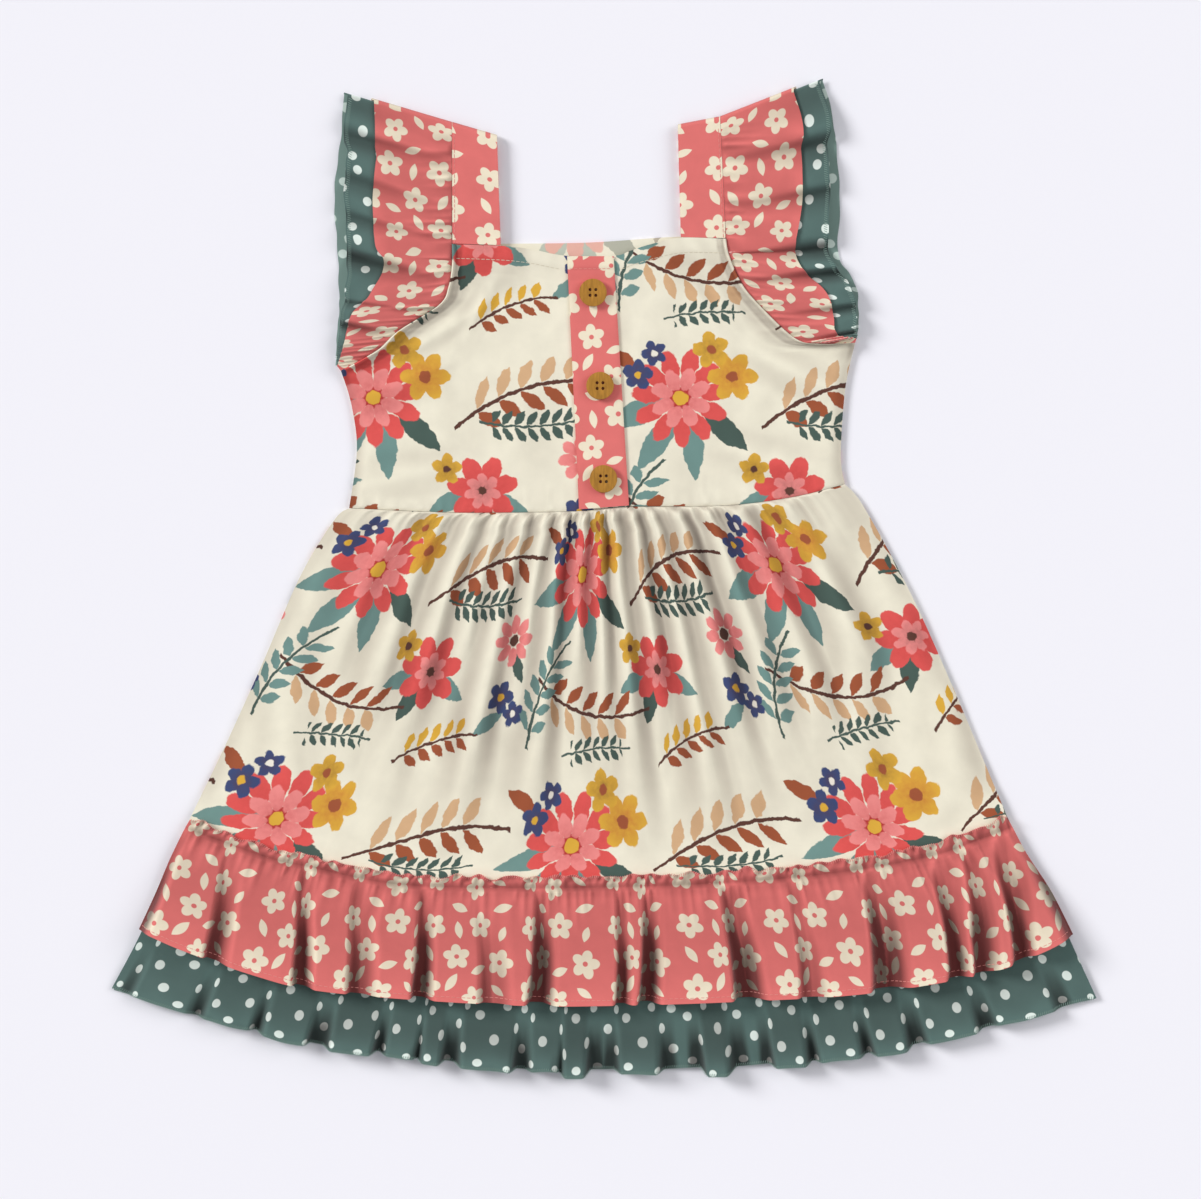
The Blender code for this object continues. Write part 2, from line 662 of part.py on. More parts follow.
def outward_share(column, is_coral, coral):
    """How far out a flutter's column lies. Both flutters share columns up to the coral's edge."""
    if column <= CORAL_FLUTTER_COLUMNS - (0 if is_coral else 1):
        return coral * column / CORAL_FLUTTER_COLUMNS
    return coral + PAST_CORAL_SHARE if column == CORAL_FLUTTER_COLUMNS else 1.0


def flutter_surface(seam, stations, troughs, is_coral, column, row):
    """Outer face of a flutter, from the armhole's tip over the shoulder and down the back."""
    seam_index, angle = row
    seam_row = seam[seam_index]
    turn = math.radians(angle)
    place = station_at(stations, seam_row.arc)
    outward = outward_share(column, is_coral, place.coral)
    top = SHOULDER_TOP if is_coral else TEAL_SHOULDER_TOP
    bottom = BACK_OUTER if is_coral else BACK_INNER
    radius = (top - bottom) / 2
    peek = BACK_PEEK if angle < 0.0 else 1.0
    x = mix(seam_row.x, place.edge_x, outward * peek)
    y = mix(seam_row.y, place.edge_y, outward * peek)
    y += radius * math.cos(turn) - smooth(2.0 * seam_row.arc - 1.0) * SHOULDER_TOP / 2
    z = (top + bottom) / 2 + radius * math.sin(turn)
    past_coral = (1.0 if outward == 1.0 else 0.0) * smooth((1.0 - seam_row.arc) / TEAL_DROP_SHARE)
    if angle == 90.0:
        width = math.dist(seam_row[:2], (place.edge_x, place.edge_y))
        z += flutter_wave(troughs, seam_row.arc, outward, width) - past_coral * LAYER
    elif angle == -90.0:
        z -= past_coral * LAYER
    return x, y, z


# Skirt


def crowded(share):
    """Share of the waist seam for a share of the cloth, crowded in the middle by the gathers."""
    offset = 2.0 * share - 1.0
    return 0.5 + 0.5 * mix(offset, offset ** 3, GATHER_CROWDING)


def lower_seam(share, gap):
    """Place on the seam under the heading, where the skirt ends and the teal ruffle begins."""
    flare = mix(SKIRT_LOWER_FLARE[0], SKIRT_LOWER_FLARE[1], share)
    return shifted(curve_point(HEADING, share), flare, -SKIRT_UNDER_HEADING - gap)


def skirt_side(edge, flare, down, gap):
    """Place on a side seam of the skirt, which runs on a little under the heading."""
    reach = down * (1.0 + SKIRT_EDGE_REACH)
    below = max(0.0, reach - 1.0) / SKIRT_EDGE_REACH
    return shifted(curve_point(edge, reach), flare * below, mix(-gap, -SKIRT_UNDER_HEADING, below))


def skirt_place(across, down, columns, gathered):
    """Place on the skirt, from the waist seam down to its lower edge under the heading."""
    gap = GATHERED_SEAM if gathered else SEAM

    def waist(share):
        return shifted(waist_point(crowded(share) if gathered else share, columns), 0.0, -gap)

    return patch_point(
        lambda share: lower_seam(share, 0.0),
        waist,
        lambda share: skirt_side(SKIRT_EDGE_LEFT, SKIRT_LOWER_FLARE[0], 1.0 - share, gap),
        lambda share: skirt_side(SKIRT_EDGE_RIGHT, SKIRT_LOWER_FLARE[1], 1.0 - share, gap),
        across,
        1.0 - down,
    )


def heading_level(down):
    """How far the skirt has risen onto the back heading, 0 above it and 1 on it."""
    return smooth((down - (1.0 - 2.2 * HEADING_RISE)) / HEADING_RISE)


def skirt_folds(across, down):
    """Height of the gathers and ridges that fan out from the waist."""
    gathers = 0.5 - 0.5 * math.cos(2.0 * math.pi * GATHER_COUNT * across)
    gathers *= GATHER_HEIGHT * smooth(down / GATHER_START_SHARE)
    height = gathers * (1.0 - smooth((down - GATHER_FADE_FROM) / GATHER_FADE_SHARE))
    for ridge in SKIRT_RIDGES:
        opening = ridge.width * mix(RIDGE_OPENING[0], RIDGE_OPENING[1], down)
        half_reach = ridge.reach / 2
        swell = smooth(down / RIDGE_START_SHARE) * (1.0 - smooth((down - half_reach) / half_reach))
        height += ridge.height * bump(across - ridge.at, opening) * swell
    return height * smooth(min(across, 1.0 - across) / CALM_SIDE_SHARE)


def skirt_row(up):
    """Share of the way down for one of the skirt's rows, closer together at both seams."""
    rows = len(SKIRT_ROW_SHARES) - 1
    return SKIRT_ROW_SHARES[rows - round(up * rows)]


def skirt_front(across, up):
    """Underside of the front skirt."""
    down = skirt_row(up)
    x, y = skirt_place(across, down, FRONT_COLUMNS, True)
    edge = smooth(1.0 - min(across, 1.0 - across) / SIDE_SEAM_DROP_SHARE)
    level = heading_level(down)
    z = FRONT_INNER - edge * LAYER * (1.0 - level) + skirt_folds(across, down) * (1.0 - level)
    return x, y, z


def skirt_back(across, up):
    """Underside of the back skirt, flat on the table until it climbs onto the back heading."""
    down = skirt_row(up)
    x, y = skirt_place(mix(BACK_INSET, 1.0 - BACK_INSET, across), down, BACK_COLUMNS, False)
    return x, y, BACK_OUTER + LAYER * heading_level(down)


# Hem ruffles


def coral_place(across, up):
    """Place on the coral ruffle, from its hem up to the top of its heading."""
    return patch_point(
        lambda share: curve_point(CORAL_HEM, share),
        lambda share: curve_point(HEADING, share),
        lambda share: curve_point(CORAL_EDGE_LEFT, 1.0 - share),
        lambda share: curve_point(CORAL_EDGE_RIGHT, 1.0 - share),
        across,
        up,
    )


CORAL_STITCHED = 1.0 - HEADING_DEPTH / CORAL_DEPTH
CORAL_ROW_SHARES = (0.0, 0.25, 0.52, 0.76, CORAL_STITCHED, 1.0)


def coral_wave(across, up):
    """Height of the coral ruffle's folds: flat on its stitch line, high at hem and heading."""
    ripple = 0.5 - 0.5 * math.cos(2.0 * math.pi * RUFFLE_GATHERS * across)
    if up > CORAL_STITCHED:
        return FRILL_HEIGHT * smooth((up - CORAL_STITCHED) / (1.0 - CORAL_STITCHED)) * ripple
    fallen = 1.0 - up / CORAL_STITCHED
    height = CORAL_WAVE * smooth(mix(CORAL_WAVE_AT_STITCHES, 1.0, fallen))
    height *= smooth(fallen / CORAL_STITCH_HOLD_SHARE)
    width = 2 * CORAL_HEM[-1].across
    for trough in CORAL_TROUGHS:
        middle = mix(trough.top, trough.hem, fallen)
        height *= 1.0 - trough.depth * bump((across - middle) * width, trough.width)
    gathers = ripple * RUFFLE_GATHER_HEIGHT * smooth(fallen / RUFFLE_GATHER_START)
    gathers *= 1.0 - smooth((fallen - RUFFLE_GATHER_START) / RUFFLE_GATHER_FADE)
    return (height + gathers) * smooth(min(across, 1.0 - across) / CORAL_SIDE_SHARE)


def coral_front(across, up):
    """Underside of the front coral ruffle."""
    row = round(up * (len(CORAL_ROW_SHARES) - 1))
    share = CORAL_ROW_SHARES[row]
    x, y = coral_place(across, share)
    return x, y, FRONT_OUTER + coral_wave(across, share)


def coral_back(across, up):
    """Underside of the back coral ruffle, flat on the table."""
    inside = mix(CORAL_BACK_SIDE_INSET, 1.0 - CORAL_BACK_SIDE_INSET, across)
    x, y = coral_place(inside, mix(CORAL_BACK_HEM_INSET, 1.0 - CORAL_BACK_TOP_INSET, up))
    return x, y, BACK_OUTER


def teal_place(across, up):
    """Place on the teal ruffle, from its hem up to its seam beside the skirt's lower edge."""
    left = (Spot(*lower_seam(0.0, LOWER_SEAM)),) + TEAL_EDGE_LEFT
    right = (Spot(*lower_seam(1.0, LOWER_SEAM)),) + TEAL_EDGE_RIGHT
    return patch_point(
        lambda share: curve_point(TEAL_HEM, share),
        lambda share: lower_seam(share, LOWER_SEAM),
        lambda share: curve_point(left, 1.0 - share),
        lambda share: curve_point(right, 1.0 - share),
        across,
        up,
    )


def teal_wave(across):
    """Height and drop of the teal ruffle's waves at its hem."""
    height = 0.0
    drop = 0.0
    width = 2 * TEAL_HEM[-1].across
    for crest in TEAL_CRESTS:
        reach = abs((across - crest.at) * width) / crest.width
        share = 1.0 - smooth((reach - CREST_FLAT_SHARE) / CREST_SLOPE_SHARE)
        height = max(height, crest.height * TEAL_WAVE_SCALE * share)
        drop = max(drop, crest.drop * share)
    return height, drop


TEAL_SHOWING_SHARE = 0.335
TEAL_ROW_SHARES = (0.0, 0.11, 0.24, TEAL_SHOWING_SHARE, 1.0)


def teal_front(across, up):
    """Underside of the front teal ruffle, level under the coral one and waved below it."""
    row = round(up * (len(TEAL_ROW_SHARES) - 1))
    share = TEAL_ROW_SHARES[row]
    x, y = teal_place(across, share)
    out = smooth(1.0 - share / TEAL_SHOWING_SHARE)
    height, drop = teal_wave(across)
    return x, y - drop * out, FRONT_INNER + out * (height - LAYER)


def teal_back(across, up):
    """Underside of the back teal ruffle, on the coral one and then down on the table."""
    share = TEAL_ROW_SHARES[round(up * (len(TEAL_ROW_SHARES) - 1))]
    x, y = teal_place(mix(BACK_INSET, 1.0 - BACK_INSET, across), mix(TEAL_BACK_HEM_INSET, 1.0, share))
    beyond = smooth((TEAL_SHOWING_SHARE - share) / TEAL_BACK_DROP_SHARE)
    return x, y, BACK_INNER * (1.0 - beyond)


def centre_on_origin(home, dress):
    """Move the empty that holds every piece so that the dress lies evenly about the origin."""
    graph = bpy.context.evaluated_depsgraph_get()
    corners = []
    for piece in dress.objects:
        if piece.type == "MESH":
            finished = piece.evaluated_get(graph)
            corners += [finished.matrix_world @ vertex.co for vertex in finished.data.vertices]
    for axis in (0, 1):
        low = min(corner[axis] for corner in corners)
        high = max(corner[axis] for corner in corners)
        home.location[axis] -= (low + high) / 2


def make_dress():
    """Model every piece of the dress in one collection, centred on the origin."""
    for old in list(bpy.data.objects):
        bpy.data.objects.remove(old, do_unlink=True)
    dress = bpy.data.collections.new("flutter_sleeve_dress")
    cutters = bpy.data.collections.new("cutters")
    bpy.context.scene.collection.children.link(dress)
    bpy.context.scene.collection.children.link(cutters)
    home = bpy.data.objects.new("dress_home", None)
    dress.objects.link(home)

    make_cloth("bodice_back", BACK_COLUMNS, BODICE_ROWS, bodice_back, 1.0, CREAM_BACK, home, dress)
    make_cloth("bodice_front", FRONT_COLUMNS, BODICE_ROWS, bodice_front, 1.0, CREAM, home, dress)
    make_cloth("placket", 2, 4, placket, 1.0, CORAL_PLACKET, home, dress)
    for name, spot in BUTTON_PLACES:
        make_button(name, spot, home, dress, cutters)

    for name, edges in STRAPS.items():
        surface = lambda across, up, edges=edges: strap_surface(edges, across, up)
        make_cloth(name, 2, STRAP_ROWS, surface, -1.0, CORAL, home, dress)

    sides = (
        ("left", ARMHOLE_LEFT, SHOULDER_LEFT, FLUTTER_LEFT, FLUTTER_TROUGHS_LEFT),
        ("right", ARMHOLE_RIGHT, SHOULDER_RIGHT, FLUTTER_RIGHT, FLUTTER_TROUGHS_RIGHT),
    )
    for side, armhole, shoulder, stations, troughs in sides:
        is_left = side == "left"
        seam = flutter_seam(armhole, shoulder, 1.0 if is_left else -1.0)
        rows = flutter_rows(seam)
        for colour, paint in (("coral", CORAL), ("teal", TEAL)):
            is_coral = colour == "coral"
            columns = CORAL_FLUTTER_COLUMNS + (0 if is_coral else 1)

            def surface(across, up):
                """Outer face of this flutter."""
                column = round((1.0 - across if is_left else across) * columns)
                row = rows[round(up * (len(rows) - 1))]
                return flutter_surface(seam, stations, troughs, is_coral, column, row)

            name = f"flutter_{colour}_{side}"
            make_cloth(name, columns, len(rows) - 1, surface, -1.0, paint, home, dress)

    skirt_rows = len(SKIRT_ROW_SHARES) - 1
    make_cloth("skirt_back", BACK_COLUMNS, skirt_rows, skirt_back, 1.0, CREAM_BACK, home, dress)
    make_cloth("skirt_front", SKIRT_COLUMNS, skirt_rows, skirt_front, 1.0, CREAM, home, dress)
    make_cloth("ruffle_coral_back", BACK_COLUMNS, 4, coral_back, 1.0, CORAL, home, dress)
    coral_rows = len(CORAL_ROW_SHARES) - 1
    make_cloth("ruffle_coral_front", CORAL_COLUMNS, coral_rows, coral_front, 1.0, CORAL, home, dress)
    teal_rows = len(TEAL_ROW_SHARES) - 1
    make_cloth("ruffle_teal_back", BACK_COLUMNS, teal_rows, teal_back, 1.0, TEAL, home, dress)
    make_cloth("ruffle_teal_front", TEAL_COLUMNS, teal_rows, teal_front, 1.0, TEAL, home, dress)
    centre_on_origin(home, dress)


make_dress()
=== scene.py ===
"""Looks of a child's flutter sleeve dress, laid flat and photographed from straight above.

Every piece of cloth is a thin wall on the form of its solid, with finer gathers and folds. Lengths
here are millimetres on the dress as it lies, shoulders at +Y, and MM turns them into metres.
"""

from collections import namedtuple
import math
import random

import bmesh
import bpy
import numpy as np
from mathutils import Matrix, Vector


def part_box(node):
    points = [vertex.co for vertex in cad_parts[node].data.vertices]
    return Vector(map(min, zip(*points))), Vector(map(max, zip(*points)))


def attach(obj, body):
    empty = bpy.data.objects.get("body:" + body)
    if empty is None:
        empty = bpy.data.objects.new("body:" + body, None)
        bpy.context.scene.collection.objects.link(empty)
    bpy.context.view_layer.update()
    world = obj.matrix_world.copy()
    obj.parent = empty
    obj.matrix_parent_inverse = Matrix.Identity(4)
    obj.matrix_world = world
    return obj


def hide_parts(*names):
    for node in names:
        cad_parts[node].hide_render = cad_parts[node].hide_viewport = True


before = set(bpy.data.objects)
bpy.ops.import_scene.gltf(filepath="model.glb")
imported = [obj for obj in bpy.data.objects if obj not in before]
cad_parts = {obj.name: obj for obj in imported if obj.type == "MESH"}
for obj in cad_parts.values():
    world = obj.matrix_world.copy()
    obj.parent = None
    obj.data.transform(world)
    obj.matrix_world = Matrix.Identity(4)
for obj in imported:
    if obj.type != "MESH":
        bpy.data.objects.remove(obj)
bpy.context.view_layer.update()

bl_info = {
    "name": "Flutter sleeve dress",
    "version": (1, 0, 0),
    "blender": (4, 5, 0),
    "location": "3D View > Sidebar > Dress",
    "description": "Cloth, sewing, buttons and print of a child's dress laid flat",
    "category": "Object",
}

MM = 0.001
PHOTO_WIDTH = 1201
PHOTO_HEIGHT = 1199
MM_PER_PIXEL = 0.56
PHOTO_ORIGIN_X = 604.0
PHOTO_ORIGIN_Y = 576.5

# Layers of cloth, as in the solids
WALL = 1.0
LAYER = 1.3
BACK_OUTER = 0.0
BACK_INNER = LAYER
FRONT_INNER = 2 * LAYER
FRONT_OUTER = 3 * LAYER
SEAM = 0.12
SHOULDER_TOP = 5.2
TEAL_SHOULDER_TOP = FRONT_INNER + WALL

Trough = namedtuple("Trough", "top hem depth width")
Crest = namedtuple("Crest", "at width height drop")
Ridge = namedtuple("Ridge", "at width height reach")
Crease = namedtuple("Crease", "across up turn length width height")
Station = namedtuple("Station", "share edge_x edge_y coral")
Pucker = namedtuple("Pucker", "at width height length")
Bloom = namedtuple("Bloom", "x y radius petals turn petal heart")
Leaf = namedtuple("Leaf", "x y length width turn colour")
Sprig = namedtuple("Sprig", "x y length pitch leaf bend turn upper lower stem")


# Small sums


def smooth(value):
    """Ease from 0 to 1 with level ends."""
    held = np.clip(value, 0.0, 1.0)
    return held * held * (3.0 - 2.0 * held)


def mix(start, end, share):
    """Go a share of the way from one number to another."""
    return start + (end - start) * share


def table(kind, *rows):
    """Rows of numbers with a name for each column."""
    return tuple(kind(*row) for row in rows)


def bump(offset, width):
    """A soft hill, 1 high at its middle."""
    return np.exp(-((offset / width) ** 2))


def dip(offset, before, after):
    """A soft hollow, 1 deep at its middle, with a different width on each side."""
    return bump(offset, np.where(offset < 0.0, before, after))


def valley(offset, width):
    """A pleat's hollow: a steep wall on its left, a level floor, and a gentle rise to the right."""
    wall = smooth((offset + 0.55 * width) / (0.45 * width))
    rise = 1.0 - smooth((offset - 0.55 * width) / (1.6 * width))
    return wall * rise


def uneven(x, y, size, seed):
    """A gentle unevenness between -1 and 1, with waves of about one size in every direction."""
    draw = random.Random(seed)
    total = 0.0
    waves = 7
    for _ in range(waves):
        turn = draw.uniform(0.0, math.pi)
        length = size * draw.uniform(0.7, 1.6)
        phase = draw.uniform(0.0, 2.0 * math.pi)
        total = total + np.sin((x * math.cos(turn) + y * math.sin(turn)) * 2.0 * math.pi / length + phase)
    return total / math.sqrt(waves) / 1.6


def through(values, places, at):
    """A smooth curve through values that stand at these places, read where it is asked."""
    last = len(values) - 2
    span = np.clip(np.searchsorted(places, at, side="right") - 1, 0, last)
    step = (at - places[span]) / (places[span + 1] - places[span])
    if values.ndim > 1:
        step = step[..., None]
    before = values[np.maximum(span - 1, 0)]
    start = values[span]
    end = values[span + 1]
    after = values[np.minimum(span + 2, last + 1)]
    leave = 0.5 * (end - before)
    arrive = 0.5 * (after - start)
    cube = 2 * start - 2 * end + leave + arrive
    square = -3 * start + 3 * end - 2 * leave - arrive
    return ((cube * step + square) * step + leave) * step + start


class Line:
    """A smooth line through given points, read by the share of its length."""

    def __init__(self, *points):
        self.points = np.array(points, dtype=float)
        steps = np.hypot(*np.diff(self.points, axis=0).T)
        self.lengths = np.concatenate(([0.0], np.cumsum(steps)))

    def at(self, share):
        """Places at these shares of the length."""
        target = np.clip(np.asarray(share, dtype=float), 0.0, 1.0) * self.lengths[-1]
        place = through(self.points, self.lengths, target)
        return np.stack((place[..., 0], place[..., 1]))


def patch(low, high, left, right, across, up):
    """Places inside four edges, each a function of a share. Left and right run upwards."""
    low_left, low_right, high_left, high_right = low(0.0), low(1.0), high(0.0), high(1.0)
    corners = []
    for axis in (0, 1):
        lower = mix(low_left[axis], low_right[axis], across)
        upper = mix(high_left[axis], high_right[axis], across)
        corners.append(mix(lower, upper, up))
    ruled_up = mix(low(across), high(across), up)
    ruled_across = mix(left(up), right(up), across)
    return ruled_up + ruled_across - np.stack(corners)


def moved(place, across=0.0, up=0.0):
    """The same places moved a little."""
    return np.stack((place[0] + across, place[1] + up))


# Outlines, the same as the solids'

WAIST = Line(
    (-142.8, 38.4), (-97.4, 36.3), (-67.2, 35.8), (-16.2, 36.7), (12.9, 39.2), (66.6, 39.8), (105.3, 44.5),
    (135.0, 51.8),
)
SIDE_LEFT = Line((-142.8, 38.4), (-138.5, 70.8), (-141.5, 96.0), (-147.3, 115.1))
SIDE_RIGHT = Line((135.0, 51.8), (132.7, 68.0), (135.2, 105.0), (140.6, 130.8))
ARMHOLE_LEFT = Line(
    (-147.3, 115.1), (-126.8, 126.8), (-115.4, 137.3), (-92.4, 152.0), (-87.0, 162.5), (-85.1, 175.0),
    (-85.1, 186.0),
)
ARMHOLE_RIGHT = Line(
    (140.6, 130.8), (120.4, 130.2), (106.4, 133.8), (84.8, 154.3), (76.0, 166.0), (70.0, 180.0), (68.3, 189.0),
)
SHOULDER_LEFT = (-85.1, 254.8)
SHOULDER_RIGHT = (65.0, 257.9)
NECK_FRONT = Line(
    (-85.1, 186.0), (-57.7, 185.1), (-41.4, 183.4), (-20.7, 179.6), (5.6, 179.6), (15.1, 182.6), (25.8, 186.0),
    (42.6, 189.6), (68.3, 189.0),
)
NECK_BACK = Line((-85.1, 186.0), (-57.7, 186.6), (-8.0, 187.3), (42.6, 190.6), (68.3, 189.0))
SKIRT_EDGE_LEFT = Line(
    (-142.8, 38.4), (-151.2, 31.8), (-170.2, 0.3), (-190.4, -46.2), (-210.6, -91.0), (-231.8, -135.2)
)
SKIRT_EDGE_RIGHT = Line((135.0, 51.8), (145.6, 39.2), (171.7, -9.0), (196.0, -63.0), (225.7, -134.1))
HEADING = Line(
    (-231.8, -135.2), (-185.9, -151.5), (-161.3, -156.5), (-114.2, -166.0), (-50.4, -167.7), (42.6, -166.0),
    (116.5, -160.4), (175.8, -150.9), (207.2, -140.7), (225.7, -134.1),
)
CORAL_EDGE_LEFT = Line((-231.8, -135.2), (-242.5, -157.0), (-251.0, -177.0), (-260.4, -196.8))
CORAL_EDGE_RIGHT = Line((225.7, -134.1), (236.0, -154.0), (250.3, -176.0), (262.6, -199.6))
CORAL_HEM = Line(
    (-260.4, -196.8), (-235.2, -208.0), (-196.6, -221.5), (-164.6, -229.7), (-114.2, -234.9), (-45.4, -238.8),
    (6.2, -238.8), (73.9, -236.6), (146.7, -232.1), (212.8, -221.0), (244.7, -209.2), (262.6, -199.6),
)
SKIRT_UNDER_HEADING = 12.0
SKIRT_LOWER_FLARE = (-4.7, 5.8)
SKIRT_EDGE_REACH = 0.06
LOWER_SEAM = 0.5
WAIST_SEAM = 0.15


def lower_seam(share, gap):
    """Places on the seam under the heading, where the skirt ends and the teal ruffle begins."""
    flare = mix(SKIRT_LOWER_FLARE[0], SKIRT_LOWER_FLARE[1], np.asarray(share, dtype=float))
    return moved(HEADING.at(share), flare, -SKIRT_UNDER_HEADING - gap)


TEAL_EDGE_LEFT = Line(lower_seam(0.0, LOWER_SEAM), (-249.5, -177.0), (-261.0, -203.0), (-275.8, -230.7))
TEAL_EDGE_RIGHT = Line(lower_seam(1.0, LOWER_SEAM), (248.5, -176.0), (263.5, -209.0), (276.0, -236.0))
TEAL_HEM = Line(
    (-275.8, -230.7), (-228.6, -245.5), (-164.6, -261.0), (-114.2, -267.4), (-56.0, -274.5), (0.0, -276.0),
    (68.3, -274.5), (102.5, -272.0), (144.5, -267.5), (185.9, -259.5), (228.5, -249.0), (276.0, -236.0),
)

# Folds, the same as the solids'

CORAL_TROUGHS = table(
    Trough,
    (0.060, 0.081, 0.60, 6.0), (0.150, 0.178, 0.75, 5.0), (0.218, 0.239, 0.55, 7.0),
    (0.297, 0.302, 0.90, 5.5), (0.367, 0.373, 0.40, 8.0), (0.433, 0.422, 1.00, 6.5),
    (0.525, 0.513, 0.65, 4.5), (0.557, 0.540, 1.00, 5.5), (0.646, 0.641, 1.00, 8.0),
    (0.727, 0.708, 0.40, 7.0), (0.816, 0.785, 1.00, 8.5), (0.900, 0.858, 0.80, 6.0),
    (0.934, 0.888, 0.70, 6.0), (0.977, 0.928, 0.80, 7.0),
)
TEAL_CRESTS = table(
    Crest,
    (0.055, 15.0, 2.0, 0.5), (0.120, 14.0, 2.6, 1.0), (0.178, 13.0, 3.0, 2.2), (0.245, 13.0, 3.6, 2.6),
    (0.296, 9.0, 2.8, 2.0), (0.327, 6.0, 3.6, 3.4), (0.382, 15.0, 3.8, 2.8), (0.442, 9.0, 3.0, 1.6),
    (0.472, 7.0, 4.2, 4.4), (0.535, 11.0, 3.6, 2.6), (0.612, 8.0, 4.2, 5.0), (0.688, 10.0, 3.6, 2.8),
    (0.738, 12.0, 3.2, 1.8), (0.789, 10.0, 3.6, 2.6), (0.852, 15.0, 2.8, 1.6), (0.925, 16.0, 2.4, 0.8),
)
SKIRT_RIDGES = table(
    Ridge,
    (0.085, 0.020, 1.4, 0.60), (0.150, 0.022, 1.9, 0.75), (0.215, 0.018, 2.2, 0.85),
    (0.268, 0.016, 1.7, 0.55), (0.318, 0.018, 2.6, 0.95), (0.368, 0.015, 2.0, 0.65),
    (0.412, 0.017, 3.0, 0.92), (0.462, 0.015, 2.4, 0.60), (0.508, 0.016, 3.1, 0.80),
    (0.552, 0.015, 2.5, 0.95), (0.600, 0.017, 3.2, 0.72), (0.652, 0.016, 2.7, 0.98),
    (0.706, 0.020, 3.3, 0.90), (0.768, 0.018, 2.4, 0.80), (0.826, 0.022, 2.2, 0.85),
    (0.905, 0.022, 1.6, 0.65),
)
BODICE_CREASES = table(
    Crease,
    (-70.0, 150.0, 62.0, 22.0, 3.6, 0.9), (-92.0, 137.0, 32.0, 26.0, 4.0, 0.9),
    (-118.0, 108.0, 20.0, 24.0, 5.0, 0.7), (60.0, 165.0, 118.0, 24.0, 4.0, 0.9),
    (100.0, 118.0, 155.0, 26.0, 4.5, 0.8), (-105.0, 58.0, 8.0, 30.0, 5.0, 0.6),
    (92.0, 66.0, 170.0, 30.0, 5.0, 0.6),
)
FLUTTER_LEFT = table(
    Station,
    (0.00, -149.9, 118.4, 0.80), (0.14, -149.3, 130.5, 0.84), (0.305, -147.0, 146.5, 0.86),
    (0.415, -145.6, 158.5, 0.74), (0.53, -146.6, 176.5, 0.64), (0.585, -147.4, 189.5, 0.72),
    (0.737, -148.4, 219.5, 0.725), (0.90, -145.4, 250.0, 0.71), (1.00, -143.6, 272.1, 0.745),
)
FLUTTER_RIGHT = table(
    Station,
    (0.00, 141.6, 134.0, 0.70), (0.145, 141.6, 137.5, 0.60), (0.28, 141.0, 148.5, 0.71),
    (0.38, 139.4, 160.0, 0.73), (0.47, 134.2, 170.5, 0.66), (0.565, 128.8, 182.5, 0.66),
    (0.71, 129.6, 215.0, 0.73), (0.90, 126.8, 256.0, 0.745), (1.00, 120.6, 279.7, 0.74),
)
FLUTTER_TROUGHS_LEFT = table(
    Trough,
    (0.20, 0.25, 0.90, 0.026), (0.33, 0.37, 0.45, 0.022), (0.46, 0.55, 1.00, 0.030),
    (0.61, 0.66, 0.50, 0.022), (0.72, 0.77, 0.55, 0.026), (0.85, 0.90, 0.90, 0.028),
)
FLUTTER_TROUGHS_RIGHT = table(
    Trough,
    (0.17, 0.14, 0.70, 0.024), (0.29, 0.30, 0.60, 0.024), (0.44, 0.47, 0.90, 0.026),
    (0.555, 0.58, 1.00, 0.026), (0.71, 0.72, 0.65, 0.026), (0.84, 0.85, 0.75, 0.030),
)

# The generic print on the cream cloth: one repeat, its motifs placed one by one, in millimetres and degrees

CREAM_TILE = (172.0, 140.0)
CREAM_LEAVES = table(
    Leaf,
    (20, 92, 42, 14, 200, "teal_leaf"), (30, 76, 40, 13, 236, "teal_leaf"),
    (50, 72, 36, 12, 274, "teal_leaf"), (68, 82, 34, 12, 318, "green_leaf"),
    (86, 42, 26, 10, 205, "teal_leaf"), (96, 32, 26, 10, 250, "green_leaf"),
    (118, 40, 28, 10, -25, "teal_leaf"), (152, 22, 22, 8, 215, "teal_leaf"),
    (166, 52, 20, 7, 300, "green_leaf"), (10, 122, 22, 8, 150, "rust"),
)
CREAM_BLOOMS = table(
    Bloom,
    (43, 100, 24.0, 11, 10, "coral_red", "coral_deep"), (43, 100, 15.0, 8, 25, "coral_pink", "mustard"),
    (72, 112, 12.5, 6, 0, "mustard", "rust"), (60, 127, 9.5, 5, 30, "mustard", "rust"),
    (19, 113, 8.0, 5, 12, "navy", "mustard"), (28, 125, 6.6, 5, 40, "navy", "cream_white"),
    (104, 48, 17.5, 7, 15, "coral_red", "brown"), (104, 48, 9.0, 7, 40, "coral_pink", "brown"),
    (84, 60, 8.0, 5, 15, "mustard", "brown"), (158, 36, 8.2, 5, 0, "navy", "mustard"),
    (168, 27, 6.4, 5, 33, "navy", "cream_white"), (160, 66, 12.0, 8, 5, "coral_pink", "brown"),
)
CREAM_SPRIGS = table(
    Sprig,
    (130, 106, 80, 13.0, 17.0, 0.005, 16, "tan", "rust", "brown"),
    (132, 84, 52, 7.0, 10.0, -0.004, 2, "green_leaf", "green_leaf", "green_leaf"),
    (50, 26, 74, 12.0, 15.0, -0.006, -12, "rust", "tan", "brown"),
    (14, 40, 54, 9.0, 13.0, 0.008, 66, "teal_leaf", "teal_leaf", "green_leaf"),
    (120, 12, 46, 8.0, 11.0, 0.007, 20, "mustard", "rust", "brown"),
    (56, 8, 40, 6.0, 8.0, 0.004, 4, "green_leaf", "green_leaf", "green_leaf"),
)
